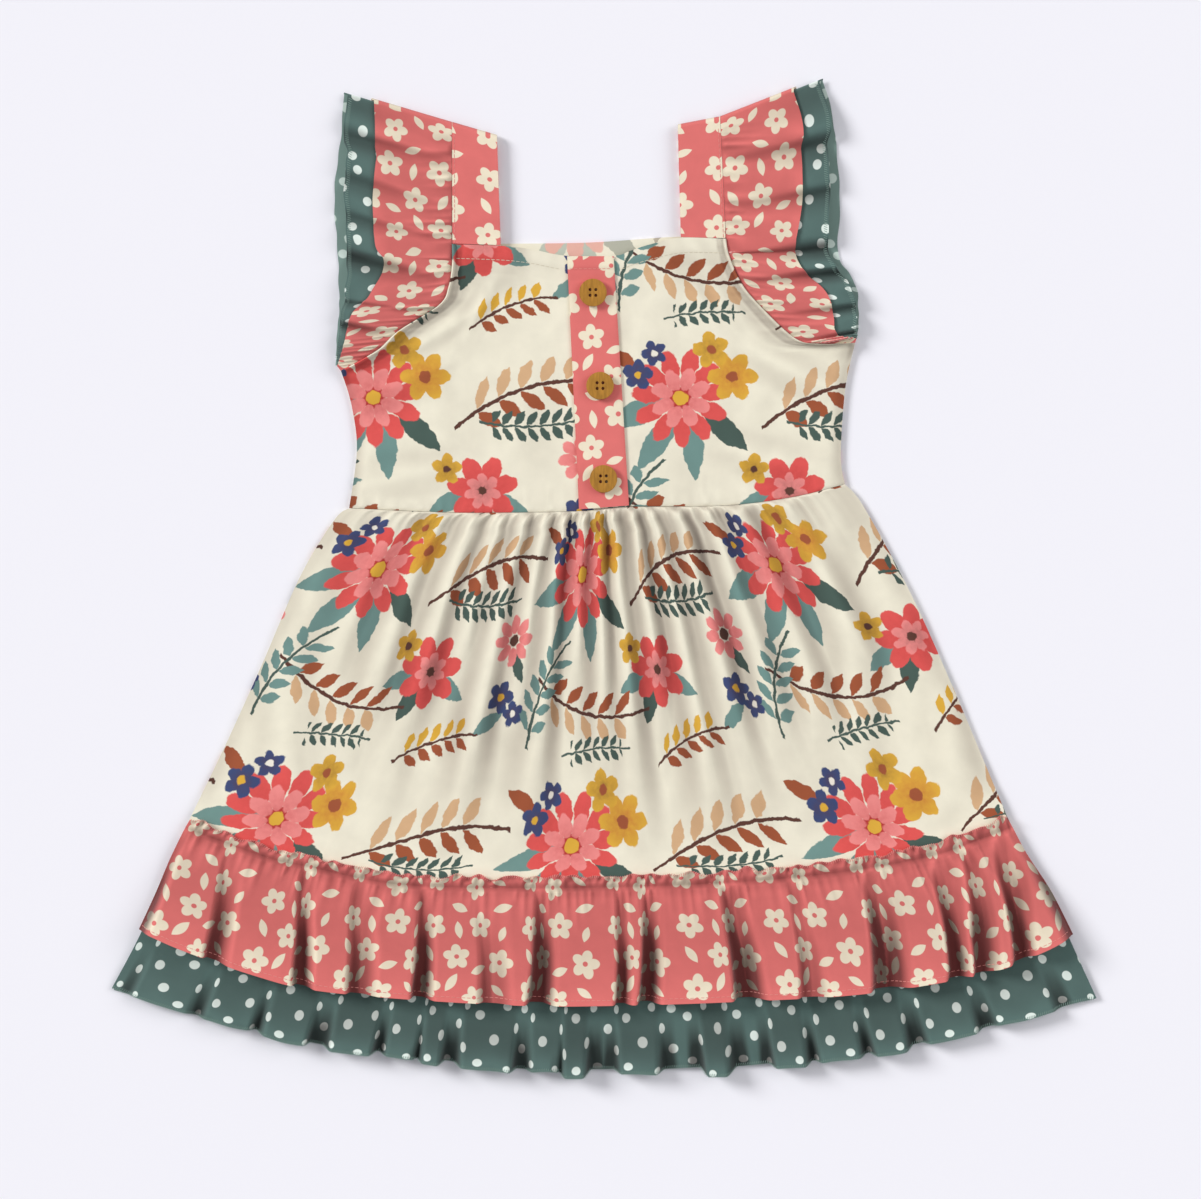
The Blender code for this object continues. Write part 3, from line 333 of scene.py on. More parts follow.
INKS = {
    "teal_leaf": (112, 146, 140),
    "green_leaf": (72, 92, 84),
    "coral_red": (226, 88, 84),
    "coral_deep": (182, 54, 52),
    "coral_pink": (240, 142, 138),
    "mustard": (222, 172, 60),
    "rust": (160, 84, 52),
    "tan": (214, 174, 132),
    "brown": (92, 56, 46),
    "navy": (58, 76, 122),
    "cream_white": (244, 238, 224),
}

# The coral cloth's small repeat: flowers by x, y, radius and turn, leaves by x, y, length, width and turn

CORAL_TILE = (64.0, 62.0)
CORAL_FLOWERS = (
    (9, 10, 7.0, 10), (35, 5, 6.3, 40), (52, 24, 7.2, 0), (24, 27, 6.7, 25), (10, 45, 7.0, 50), (39, 46, 7.2, 15),
)
CORAL_LEAVES = (
    (22, 13, 11, 4.6, 60), (51, 9, 10, 4.2, -35), (37, 20, 10, 4.4, 20), (8, 28, 11, 4.8, -60),
    (25, 43, 10.5, 4.4, 100), (54, 41, 9.5, 4.2, 70), (25, 56, 10, 4.6, -20), (54, 56, 11, 4.6, 15),
)
SMALL_PETALS = 5

TEAL_TILE = (40.0, 42.0)
TEAL_DOTS = ((5, 6), (22, 3), (35, 14), (13, 19), (28, 25), (4, 31), (19, 37), (35, 36))
TEAL_DOT_RADIUS = 2.65


def from_print(red, green, blue):
    """A colour as seen on a screen, from 0 to 255, in the light units that shaders use."""
    channels = []
    for value in (red, green, blue):
        share = value / 255.0
        channels.append(share / 12.92 if share <= 0.04045 else ((share + 0.055) / 1.055) ** 2.4)
    return tuple(channels)


# Settings


def length_setting(name, description, default):
    """A length that the panel shows."""
    return bpy.props.FloatProperty(name=name, description=description, default=default, unit="LENGTH")


def colour_setting(name, description, red, green, blue):
    """A colour that the panel shows, given as seen on a screen."""
    default = from_print(red, green, blue)
    return bpy.props.FloatVectorProperty(
        name=name, description=description, subtype="COLOR", size=3, default=default
    )


class DressSizes(bpy.types.PropertyGroup):
    """Sizes that shape the cloth."""

    cloth: length_setting("Cloth thickness", "Thickness of every cloth wall", 0.0008)
    coral_wave: length_setting("Coral ruffle height", "How high its folds stand at the hem", 0.0100)
    teal_wave: bpy.props.FloatProperty(
        name="Teal ruffle swell", description="How much the teal ruffle's waves stand up", default=2.2
    )
    flutter_wave: length_setting("Flutter height", "How high its folds stand at the edge", 0.0056)
    button: length_setting("Button diameter", "Diameter of each button", 0.0154)
    stitch: length_setting("Stitch length", "Length of one topstitch", 0.0023)


class DressColours(bpy.types.PropertyGroup):
    """Colours of the cloth, buttons and floor."""

    cream: colour_setting("Cream cloth", "Ground of the printed cloth", 237, 231, 210)
    coral: colour_setting("Coral cloth", "Ground of the flowered cloth", 222, 114, 110)
    ditsy: colour_setting("Small flowers", "Flowers and leaves on the coral cloth", 238, 226, 200)
    teal: colour_setting("Teal cloth", "Ground of the dotted cloth", 86, 112, 107)
    dots: colour_setting("Dots", "Dots on the teal cloth", 228, 240, 232)
    wood: colour_setting("Buttons", "Ground colour of the buttons", 186, 132, 52)
    floor: colour_setting("Floor", "Surface that the dress lies on", 240, 239, 245)


# Finishes


class Weave:
    """Builds the nodes of one material."""

    def __init__(self, name, roughness, sheen):
        self.material = bpy.data.materials.new(name)
        self.material.use_nodes = True
        self.tree = self.material.node_tree
        self.shader = self.tree.nodes["Principled BSDF"]
        self.shader.inputs["Roughness"].default_value = roughness
        self.shader.inputs["Sheen Weight"].default_value = sheen
        self.shader.inputs["Sheen Roughness"].default_value = 0.5
        self.shader.inputs["Specular IOR Level"].default_value = 0.25

    def node(self, kind, *inputs, **settings):
        """A node with its settings and its first inputs filled in, as numbers or links."""
        made = self.tree.nodes.new(kind)
        for name, value in settings.items():
            setattr(made, name, value)
        for socket, value in zip(made.inputs, inputs):
            if isinstance(value, bpy.types.NodeSocket):
                self.tree.links.new(value, socket)
            elif value is not None:
                socket.default_value = value
        return made

    def sum(self, operation, *inputs, clamp=False):
        """A number worked out from others."""
        return self.node("ShaderNodeMath", *inputs, operation=operation, use_clamp=clamp).outputs[0]

    def vector(self, operation, *inputs):
        """A vector worked out from others."""
        return self.node("ShaderNodeVectorMath", *inputs, operation=operation).outputs[0]

    def length(self, vector):
        """Length of a vector."""
        return self.node("ShaderNodeVectorMath", vector, operation="LENGTH").outputs["Value"]

    def scaled(self, vector, factor):
        """A vector made longer or shorter."""
        return self.node("ShaderNodeVectorMath", vector, None, None, factor, operation="SCALE").outputs[0]

    def split(self, vector):
        """The numbers of a vector."""
        return self.node("ShaderNodeSeparateXYZ", vector).outputs

    def noise(self, place, scale, detail, dimensions="3D"):
        """Outputs of a soft uneven pattern."""
        made = self.node("ShaderNodeTexNoise", place, None, scale, detail, noise_dimensions=dimensions)
        return made.outputs

    def blend(self, share, under, over, mode="MIX"):
        """One colour laid over another."""
        made = self.tree.nodes.new("ShaderNodeMix")
        made.data_type = "RGBA"
        made.blend_type = mode
        for name, value in (("Factor_Float", share), ("A_Color", under), ("B_Color", over)):
            socket = next(item for item in made.inputs if item.identifier == name)
            if isinstance(value, bpy.types.NodeSocket):
                self.tree.links.new(value, socket)
            elif name == "Factor_Float":
                socket.default_value = value
            else:
                socket.default_value = (*value, 1.0)
        return next(item for item in made.outputs if item.identifier == "Result_Color")

    def cloth_place(self):
        """Place on the flat cloth in millimetres."""
        place = self.node("ShaderNodeUVMap", uv_map="cloth").outputs["UV"]
        return self.scaled(place, 1.0 / MM)

    def around(self, place, x, y, tile, turn):
        """Place seen from the middle of one motif, the same in every repeat."""
        offset = self.vector("SUBTRACT", place, (x, y, 0.0))
        half = (tile[0] / 2, tile[1] / 2, 1.0)
        wrapped = self.vector("WRAP", offset, half, tuple(-side for side in half))
        if turn == 0.0:
            return wrapped
        return self.node(
            "ShaderNodeVectorRotate", wrapped, None, None, -math.radians(turn), rotation_type="Z_AXIS"
        ).outputs[0]

    def inside(self, distance, blur):
        """1 where a distance is below nothing, with a soft edge."""
        return self.sum("MULTIPLY_ADD", distance, -1.0 / blur, 0.5, clamp=True)

    def petals(self, place, radius, count, blur):
        """Mask of a flower with round petals, and the distance from its middle."""
        away = self.length(place)
        split = self.split(place)
        angle = self.sum("ARCTAN2", split[1], split[0])
        folded = self.sum("WRAP", angle, math.pi / count, -math.pi / count)
        petal_radius = radius * min(0.40, 1.9 / count + 0.03)
        middle = radius - petal_radius
        along = self.sum("MULTIPLY_ADD", away, self.sum("COSINE", folded), -middle)
        aside = self.sum("MULTIPLY", away, self.sum("SINE", folded))
        squashed = self.sum("MULTIPLY", along, 0.5 * petal_radius / middle + 0.45)
        spot = self.node("ShaderNodeCombineXYZ", squashed, aside).outputs[0]
        return self.inside(self.sum("SUBTRACT", self.length(spot), petal_radius), blur), away

    def leaf(self, along, aside, length, width, blur):
        """Mask of a leaf pointed at both ends."""
        share = self.sum("MULTIPLY", along, 2.0 / length)
        bulge = self.sum("MULTIPLY_ADD", self.sum("MULTIPLY", share, share), -width / 2, width / 2)
        gap = self.sum("SUBTRACT", self.sum("ABSOLUTE", aside), bulge)
        return self.inside(gap, blur)

    def finish(self, colour, relief=None, strength=0.3, distance=0.0003):
        """Join a colour and a relief to the shader."""
        self.tree.links.new(colour, self.shader.inputs["Base Color"])
        if relief is not None:
            bumped = self.tree.nodes.new("ShaderNodeBump")
            bumped.inputs["Strength"].default_value = strength
            bumped.inputs["Distance"].default_value = distance
            self.tree.links.new(relief, bumped.inputs["Height"])
            self.tree.links.new(bumped.outputs[0], self.shader.inputs["Normal"])
        return self.material


def knit_relief(weave, place):
    """Fine wales of a brushed knit with a little fuzz."""
    wales = weave.node("ShaderNodeTexWave", place, 1.4, 0.6, 1.0, bands_direction="X").outputs["Fac"]
    fuzz = weave.noise(place, 2.2, 3.0, "2D")["Fac"]
    return weave.sum("MULTIPLY_ADD", fuzz, 1.4, wales)


# Painted shade: how much the cloth colour darkens at the bottom of the deepest folds
FOLD_SHADE = 0.80
BRUSH_WANDER = 2.6
SPRIG_LEAF_LEAN = 52.0
LARGE_BLOOM = 10
PRINT_BLUR = 0.5
SMALL_PRINT_BLUR = 0.35
KNIT_RELIEF = (0.18, 0.0002)


def dye_and_fold_shade(weave, place, colour, reverse, ground, pale=0.5):
    """Small unevenness of the dye and painted shade that darkens the deep folds; on the reverse, also the paler
    back of the cloth.
    """
    cloud = weave.noise(place, 0.09, 3.0, "2D")["Fac"]
    # Painted shade: darker, and a little less green and blue, where the cloth lies deep in its folds
    depth = weave.node("ShaderNodeAttribute", attribute_name="painted_fold_shade").outputs["Fac"]
    shade = weave.sum("MULTIPLY_ADD", weave.sum("POWER", depth, 0.8), -FOLD_SHADE, 1.0)
    darker = weave.sum("MULTIPLY", weave.sum("MULTIPLY_ADD", cloud, 0.14, 0.93), shade)
    shade_green_blue = weave.sum("MULTIPLY", darker, weave.sum("MULTIPLY_ADD", depth, -0.12, 1.0))
    dye_and_shade = weave.node("ShaderNodeCombineXYZ", darker, shade_green_blue, shade_green_blue).outputs[0]
    dyed_and_shaded = weave.blend(1.0, colour, dye_and_shade, "MULTIPLY")
    if reverse:
        return weave.blend(pale, dyed_and_shaded, ground)
    return dyed_and_shaded


def printed_cream(reverse=False):
    """Cream knit with a generic print of blooms, leaves and twigs."""
    colours = bpy.context.scene.dress_colours
    weave = Weave("cream_print_reverse" if reverse else "cream_print", 0.88, 0.15)
    place = weave.cloth_place()
    brushed = weave.noise(place, 0.22, 3.0, "2D")["Color"]
    jitter = weave.scaled(weave.vector("SUBTRACT", brushed, (0.5, 0.5, 0.5)), BRUSH_WANDER)
    drawn = weave.vector("ADD", place, jitter)
    strokes = weave.noise(place, 0.35, 5.0, "2D")["Fac"]
    colour = tuple(colours.cream)
    inks = {name: from_print(*ink) for name, ink in INKS.items()}
    for item in CREAM_LEAVES:
        split = weave.split(weave.around(drawn, item.x, item.y, CREAM_TILE, item.turn))
        mask = weave.leaf(split[0], split[1], item.length, item.width, PRINT_BLUR)
        colour = weave.blend(mask, colour, inks[item.colour])
    for item in CREAM_SPRIGS:
        split = weave.split(weave.around(drawn, item.x, item.y, CREAM_TILE, item.turn))
        curved = weave.sum("MULTIPLY_ADD", weave.sum("MULTIPLY", split[0], split[0]), item.bend, split[1])
        side = weave.sum("ABSOLUTE", curved)
        step = weave.sum("WRAP", split[0], item.pitch / 2, -item.pitch / 2)
        lean = math.radians(SPRIG_LEAF_LEAN)
        out = weave.sum("SUBTRACT", side, item.leaf * 0.46)
        along = weave.sum(
            "ADD", weave.sum("MULTIPLY", step, math.cos(lean)), weave.sum("MULTIPLY", out, math.sin(lean))
        )
        aside = weave.sum(
            "SUBTRACT", weave.sum("MULTIPLY", out, math.cos(lean)), weave.sum("MULTIPLY", step, math.sin(lean))
        )
        leaves = weave.leaf(along, aside, item.leaf, item.leaf * 0.42, PRINT_BLUR)
        reach = weave.sum("SUBTRACT", weave.sum("ABSOLUTE", split[0]), item.length / 2 - item.pitch / 2)
        within = weave.inside(reach, 0.3)
        upper = weave.inside(weave.sum("MULTIPLY", curved, -1.0), 0.4)
        tint = weave.blend(upper, inks[item.lower], inks[item.upper])
        colour = weave.blend(weave.sum("MULTIPLY", leaves, within), colour, tint)
        twig = weave.inside(weave.sum("SUBTRACT", side, item.leaf * 0.055 + 0.15), 0.4)
        longer = weave.inside(weave.sum("SUBTRACT", reach, item.pitch), 0.3)
        colour = weave.blend(weave.sum("MULTIPLY", twig, longer), colour, inks[item.stem])
    for item in CREAM_BLOOMS:
        place_here = weave.around(drawn, item.x, item.y, CREAM_TILE, item.turn)
        mask, away = weave.petals(place_here, item.radius, item.petals, PRINT_BLUR)
        fade = weave.sum("MULTIPLY_ADD", away, -0.75 / item.radius, 0.85, clamp=True)
        streaked = weave.sum("MULTIPLY", fade, strokes, clamp=True)
        streak = inks["coral_deep"] if item.radius > LARGE_BLOOM else inks["brown"]
        petal = weave.blend(streaked, inks[item.petal], streak)
        colour = weave.blend(mask, colour, petal)
        heart = weave.inside(weave.sum("SUBTRACT", away, item.radius * 0.27), 0.6)
        colour = weave.blend(heart, colour, inks[item.heart])
    # Dye unevenness and painted shade in the folds
    colour = dye_and_fold_shade(weave, place, colour, reverse, tuple(colours.cream))
    return weave.finish(colour, knit_relief(weave, place), *KNIT_RELIEF)


def coral_flowers(reverse=False):
    """Coral knit with a small repeat of five-petal flowers and leaves."""
    colours = bpy.context.scene.dress_colours
    weave = Weave("coral_flowers_reverse" if reverse else "coral_flowers", 0.85, 0.2)
    place = weave.cloth_place()
    ditsy = tuple(colours.ditsy)
    colour = tuple(colours.coral)
    for x, y, length, width, turn in CORAL_LEAVES:
        split = weave.split(weave.around(place, x, y, CORAL_TILE, turn))
        mask = weave.leaf(split[0], split[1], length, width, SMALL_PRINT_BLUR)
        colour = weave.blend(mask, colour, ditsy)
    for x, y, radius, turn in CORAL_FLOWERS:
        place_here = weave.around(place, x, y, CORAL_TILE, turn)
        mask, away = weave.petals(place_here, radius, SMALL_PETALS, SMALL_PRINT_BLUR)
        heart = weave.inside(weave.sum("SUBTRACT", away, radius * 0.2), SMALL_PRINT_BLUR)
        colour = weave.blend(weave.sum("SUBTRACT", mask, heart, clamp=True), colour, ditsy)
    # Dye unevenness and painted shade in the folds
    colour = dye_and_fold_shade(weave, place, colour, reverse, from_print(236, 196, 188))
    return weave.finish(colour, knit_relief(weave, place), *KNIT_RELIEF)


def teal_dots(reverse=False):
    """Teal knit with a scatter of pale dots."""
    colours = bpy.context.scene.dress_colours
    weave = Weave("teal_dots_reverse" if reverse else "teal_dots", 0.85, 0.2)
    place = weave.cloth_place()
    nearest = None
    for x, y in TEAL_DOTS:
        away = weave.length(weave.around(place, x, y, TEAL_TILE, 0.0))
        nearest = away if nearest is None else weave.sum("MINIMUM", nearest, away)
    dot = weave.inside(weave.sum("SUBTRACT", nearest, TEAL_DOT_RADIUS), SMALL_PRINT_BLUR)
    colour = weave.blend(dot, tuple(colours.teal), tuple(colours.dots))
    # Dye unevenness and painted shade in the folds
    colour = dye_and_fold_shade(weave, place, colour, reverse, from_print(160, 186, 176), pale=0.4)
    return weave.finish(colour, knit_relief(weave, place), *KNIT_RELIEF)


def button_wood():
    """Varnished wood with a fine stretched grain of darker flecks."""
    colours = bpy.context.scene.dress_colours
    weave = Weave("button_wood", 0.42, 0.0)
    place = weave.node("ShaderNodeTexCoord").outputs["Object"]
    grain = weave.node("ShaderNodeMapping", place, None, None, (900.0, 130.0, 300.0)).outputs[0]
    flecks = weave.noise(grain, 1.0, 4.0)["Fac"]
    dark = tuple(channel * 0.45 for channel in colours.wood)
    share = weave.sum("MULTIPLY_ADD", flecks, 1.6, -0.45, clamp=True)
    colour = weave.blend(share, tuple(colours.wood), dark)
    return weave.finish(colour, flecks, 0.15, 0.0002)


def thread_finish(name, colour):
    """Twisted polyester thread."""
    weave = Weave(name, 0.6, 0.1)
    place = weave.node("ShaderNodeTexCoord").outputs["Object"]
    twist = weave.noise(place, 3500.0, 2.0)["Fac"]
    darker = tuple(channel * 0.72 for channel in colour)
    return weave.finish(weave.blend(twist, colour, darker), twist, 0.2, 0.0001)


def floor_finish():
    """Plain pale card."""
    colours = bpy.context.scene.dress_colours
    weave = Weave("pale_floor", 0.9, 0.0)
    place = weave.node("ShaderNodeTexCoord").outputs["Object"]
    tooth = weave.noise(place, 400.0, 2.0)["Fac"]
    tone = tuple(colours.floor)
    return weave.finish(weave.blend(tooth, tone, tuple(channel * 0.995 for channel in tone)), tooth, 0.02, 0.0001)


FINISHES = {}
CLOTHS = {"cream_print": printed_cream, "coral_flowers": coral_flowers, "teal_dots": teal_dots}
THREADS = {
    "thread_cream": (226, 216, 192),
    "thread_coral": (236, 150, 142),
    "thread_teal": (134, 162, 152),
    "thread_brown": (118, 78, 40),
}


def finish_named(name):
    """Each finish is made once and shared."""
    if name not in FINISHES:
        cloth = name.removesuffix("_reverse")
        if cloth in CLOTHS:
            FINISHES[name] = CLOTHS[cloth](reverse=name != cloth)
        elif name in THREADS:
            FINISHES[name] = thread_finish(name, from_print(*THREADS[name]))
        else:
            FINISHES[name] = button_wood()
    return FINISHES[name]


# Making cloth


def home_shift():
    """How far the dress was moved to bring its middle to the origin, in millimetres."""
    low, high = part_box("button_top")
    middle_x = (low[0] + high[0]) / 2 / MM
    middle_y = (low[1] + high[1]) / 2 / MM
    return middle_x - BUTTON_PLACES[0][1], middle_y - BUTTON_PLACES[0][2]


def place_piece(name, mesh, *finishes):
    """A finished mesh as a piece of the dress."""
    piece = bpy.data.objects.new(name, mesh)
    for finish in finishes:
        mesh.materials.append(finish_named(finish))
    bpy.context.scene.collection.objects.link(piece)
    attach(piece, "root")
    return piece


def shaped(surface, columns, rows):
    """Values of a surface on an even grid: x, y, z and place on the cloth, each rows by columns."""
    up, across = np.meshgrid(np.linspace(0.0, 1.0, rows + 1), np.linspace(0.0, 1.0, columns + 1), indexing="ij")
    values = surface(across, up)
    return [np.broadcast_to(value, across.shape).astype(float) for value in values]


def painted_fold_shade(outer):
    """How far each place lies below the crests beside it, from 0 to 1, used to paint shade into the cloth colour
    there, where little light gets down.
    """
    z = outer[..., 2]
    crest = z.copy()
    for axis in (0, 1):
        spacing = np.linalg.norm(np.diff(outer, axis=axis), axis=-1).mean()
        for step in range(1, int(FOLD_REACH / spacing) + 1):
            edges = [(0, 0), (0, 0)]
            edges[axis] = (step, step)
            wide = np.pad(z, edges, mode="edge")
            length = z.shape[axis]
            for start in (0, 2 * step):
                crest = np.maximum(crest, np.take(wide, np.arange(start, start + length), axis=axis))
    return np.clip((crest - z) / DEEPEST_FOLD, 0.0, 1.0)


def grid_faces(rows, columns, first, turned):
    """Faces of a grid of points that starts at index first."""
    index = first + np.arange((rows + 1) * (columns + 1)).reshape(rows + 1, columns + 1)
    corners = [index[:-1, :-1], index[:-1, 1:], index[1:, 1:], index[1:, :-1]]
    if turned:
        corners.reverse()
    return np.stack([corner.ravel() for corner in corners], axis=1), index


def outline_of(index):
    """Point numbers round the edge of a grid, anticlockwise."""
    return np.concatenate((index[0, :-1], index[:-1, -1], index[-1, :0:-1], index[:0:-1, 0]))


# Painted fold shade: how far round it looks for crests, and how deep in millimetres a place lies to get all of it
FOLD_REACH = 8.0
DEEPEST_FOLD = 5.5


def weave_piece(name, surface, columns, rows, finish, face_down=False, folded=False):
    """A wall of cloth whose outer face is surface(across, up), with the pale reverse inside.

    A folded piece gets its wall square to its face, and any other straight down, so that no gather
    crosses itself.
    """
    sizes = bpy.context.scene.dress_sizes
    x, y, z, along, deep = shaped(surface, columns, rows)
    outer = np.stack((x, y, z), axis=-1)
    normal = np.zeros_like(outer)
    normal[..., 2] = 1.0
    if folded:
        normal = np.cross(np.gradient(outer, axis=1), np.gradient(outer, axis=0))
        normal /= np.linalg.norm(normal, axis=-1, keepdims=True)
    if face_down:
        normal = -normal
    inner = outer - normal * sizes.cloth / MM
    count = (rows + 1) * (columns + 1)
    faces_out, index_out = grid_faces(rows, columns, 0, face_down)
    faces_in, index_in = grid_faces(rows, columns, count, not face_down)
    ring_out = outline_of(index_out)
    ring_in = outline_of(index_in)
    next_out = np.roll(ring_out, -1)
    next_in = np.roll(ring_in, -1)
    rim = np.stack((ring_out, ring_in, next_in, next_out), axis=1)
    if face_down:
        rim = rim[:, ::-1]
    faces = np.concatenate((faces_out, rim, faces_in))
    shift_x, shift_y = home_shift()
    points = np.concatenate((outer.reshape(-1, 3), inner.reshape(-1, 3)))
    points += (shift_x, shift_y, 0.0)
    mesh = bpy.data.meshes.new(name)
    mesh.from_pydata((points * MM).tolist(), [], faces.tolist())
    cloth = np.stack((along.ravel(), deep.ravel()), axis=1) * MM
    cloth = np.concatenate((cloth, cloth))
    layer = mesh.uv_layers.new(name="cloth")
    layer.data.foreach_set("uv", cloth[faces.ravel()].ravel())
    # Painted shade: each outer point keeps how deep it lies in its folds, for the cloth materials to darken by
    depth = np.zeros(2 * count)
    depth[:count] = painted_fold_shade(outer).ravel()
    mesh.attributes.new("painted_fold_shade", "FLOAT", "POINT").data.foreach_set("value", depth)
    mesh.polygons.foreach_set("use_smooth", np.ones(len(faces), dtype=bool))
    slots = np.zeros(len(faces), dtype=int)
    slots[len(faces_out) + len(rim):] = 1
    mesh.polygons.foreach_set("material_index", slots)
    piece = place_piece(name, mesh, finish, finish + "_reverse")
    sharpen_rim(mesh, ring_out, ring_in)
    return piece


def sharpen_rim(mesh, *rings):
    """Mark the cut edges of the cloth as corners, so that its faces shade cleanly."""
    sharp = {tuple(sorted(pair)) for ring in rings for pair in zip(ring.tolist(), np.roll(ring, -1).tolist())}
    ends = np.empty(len(mesh.edges) * 2, dtype=int)
    mesh.edges.foreach_get("vertices", ends)
    marks = [tuple(sorted(pair)) in sharp for pair in ends.reshape(-1, 2).tolist()]
    mesh.attributes.new("sharp_edge", "BOOLEAN", "EDGE").data.foreach_set("value", marks)


def puckers(seed, count, height, width, length, low=0.03, high=0.97):
    """Small gathers at given sizes and uneven places."""
    draw = random.Random(seed)
    made = []
    for number in range(count):
        at = mix(low, high, (number + draw.uniform(0.15, 0.85)) / count)
        this_width = width * draw.uniform(0.6, 1.4)
        this_height = height * draw.uniform(0.45, 1.25)
        made.append(Pucker(at, this_width, this_height, length * draw.uniform(0.4, 1.6)))
    return made


def pucker_height(gathers, across, depth):
    """Height of small gathers a distance in millimetres from their seam."""
    height = 0.0
    for gather in gathers:
        fade = smooth(depth / 2.5) * (1.0 - smooth(depth / gather.length))
        height = height + gather.height * bump(across - gather.at, gather.width * (1.0 + depth / 60.0)) * fade
    return height


# Bodice

ARMHOLE_TIP = 5 / 12
SIDE_DROP_WIDTH = 11.0
ARMHOLE_RISE_WIDTH = 22.0
CHEST_WIDTH = 285.0
BODICE_LENGTH = 145.0
STRAP_SHARE = 0.185
BACK_INSET = 0.002
NECK_HEM = 6.8


def bodice_place(across, up, neck):
    """Place on the bodice: across from left to right, up from waist to neckline."""

    def side(seam, armhole):
        def edge(share):
            share = np.asarray(share, dtype=float)
            lower = seam.at(share / ARMHOLE_TIP)
            upper = armhole.at((share - ARMHOLE_TIP) / (1.0 - ARMHOLE_TIP))
            return np.where(share <= ARMHOLE_TIP, lower, upper)

        return edge

    left = side(SIDE_LEFT, ARMHOLE_LEFT)
    right = side(SIDE_RIGHT, ARMHOLE_RIGHT)
    return patch(WAIST.at, neck.at, left, right, across, up)


def crease_height(x, y):
    """Height of the pull creases at a place on the bodice."""
    height = 0.0
    for crease in BODICE_CREASES:
        turn = math.radians(crease.turn)
        along = (x - crease.across) * math.cos(turn) + (y - crease.up) * math.sin(turn)
        aside = (y - crease.up) * math.cos(turn) - (x - crease.across) * math.sin(turn)
        height = height + crease.height * bump(along, crease.length) * bump(aside, crease.width)
    return height


def bodice_front(across, up):
    """Outer face of the front bodice, with its rolled armholes and stitched neckline."""
    x, y = bodice_place(across, up, NECK_FRONT)
    from_edge = np.minimum(across, 1.0 - across)
    edge_distance = from_edge * CHEST_WIDTH
    on_armhole = smooth((up - ARMHOLE_TIP + 0.06) / 0.10)
    side = (1.0 - on_armhole) * smooth(1.0 - edge_distance / SIDE_DROP_WIDTH)
    armhole = on_armhole * smooth(1.0 - edge_distance / ARMHOLE_RISE_WIDTH)
    strap = smooth((0.27 - from_edge) / (0.27 - STRAP_SHARE))
    strap = strap * smooth(1.0 - (1.0 - up) * BODICE_LENGTH / ARMHOLE_RISE_WIDTH)
    rise = SHOULDER_TOP - WALL - FRONT_INNER
    creases = crease_height(x, y) * smooth(edge_distance / SIDE_DROP_WIDTH) * (1.0 - armhole)
    z = WALL + FRONT_INNER - side * LAYER + np.maximum(armhole, strap) * rise + creases
    pulls = pucker_height(puckers(71, 34, 1.0, 0.008, 13.0, ARMHOLE_TIP, 0.98), up, edge_distance)
    roll = on_armhole * (1.3 * bump(edge_distance - 2.2, 2.0) - 0.5 * bump(edge_distance - 5.6, 1.6))
    z = z + roll + 0.8 * on_armhole * pulls
    from_neck = (1.0 - up) * BODICE_LENGTH
    middle = smooth((from_edge - STRAP_SHARE + 0.02) / 0.04)
    z = z + 0.25 * smooth((NECK_HEM + 0.6 - from_neck) / 1.2) - 0.18 * bump(from_neck - NECK_HEM, 0.7)
    clear_of_placket = smooth((np.abs(x + 4.0) - 14.0) / 10.0)
    from_waist = up * BODICE_LENGTH
    soft = 0.45 * uneven(x, y * 0.6, 48.0, 11) * middle * smooth(edge_distance / 20.0)
    tucks = 0.5 * pucker_height(puckers(72, 40, 0.9, 0.006, 11.0), across, from_waist)
    z = z + (soft + tucks) * clear_of_placket - 0.35 * (1.0 - smooth(from_waist / 1.5))
    return x, y, z, x, y


def bodice_back(across, up):
    """Outer face of the back bodice, which lies on the table."""
    x, y = bodice_place(mix(BACK_INSET, 1.0 - BACK_INSET, across), up, NECK_BACK)
    return x, y, BACK_OUTER + 0.0 * x, x + 60.0, y + 35.0


# Placket and buttons

PLACKET_LEFT = ((-20.7, 179.3), (-14.0, 37.6))
PLACKET_RIGHT = ((5.4, 179.3), (14.0, 39.8))
BUTTON_PLACES = (("button_top", -6.2, 158.8), ("button_middle", -2.2, 106.7), ("button_bottom", -0.3, 54.6))
PLACKET_TOP = FRONT_INNER + LAYER + WALL
PLACKET_FOLD = 7.0
PLACKET_WIDTH = 27.0
PLACKET_LENGTH = 141.0


def placket(across, up):
    """Outer face of the placket, pressed flat, with soft folded edges."""
    x_high = mix(PLACKET_LEFT[0][0], PLACKET_RIGHT[0][0], across)
    x_low = mix(PLACKET_LEFT[1][0], PLACKET_RIGHT[1][0], across)
    y_high = mix(PLACKET_LEFT[0][1], PLACKET_RIGHT[0][1], across)
    y_low = mix(PLACKET_LEFT[1][1], PLACKET_RIGHT[1][1], across)
    x = mix(x_low, x_high, up)
    y = mix(y_low, y_high, up)
    from_edge = np.minimum(across, 1.0 - across) * PLACKET_WIDTH
    z = PLACKET_TOP - 0.22 * (1.0 - smooth(from_edge / 1.3))
    from_top = (1.0 - up) * PLACKET_LENGTH
    z = z + 0.2 * smooth((PLACKET_FOLD - from_top) / 0.8) - 0.15 * bump(from_top - PLACKET_FOLD, 0.6)
    return x, y, z, x + 31.0, y + 17.0


# Straps and flutters, which pass over the shoulder


def over_shoulder(up, front_share, bend_share):
    """Share climbed towards the shoulder, and the angle of the bend: 90 degrees in front, -90 behind."""
    back_start = front_share + bend_share
    climbed = np.where(up <= front_share, up / front_share, 1.0)
    climbed = np.where(up >= back_start, (1.0 - up) / (1.0 - back_start), climbed)
    angle = np.clip(90.0 - 180.0 * (up - front_share) / bend_share, -90.0, 90.0)
    return climbed, np.radians(angle)


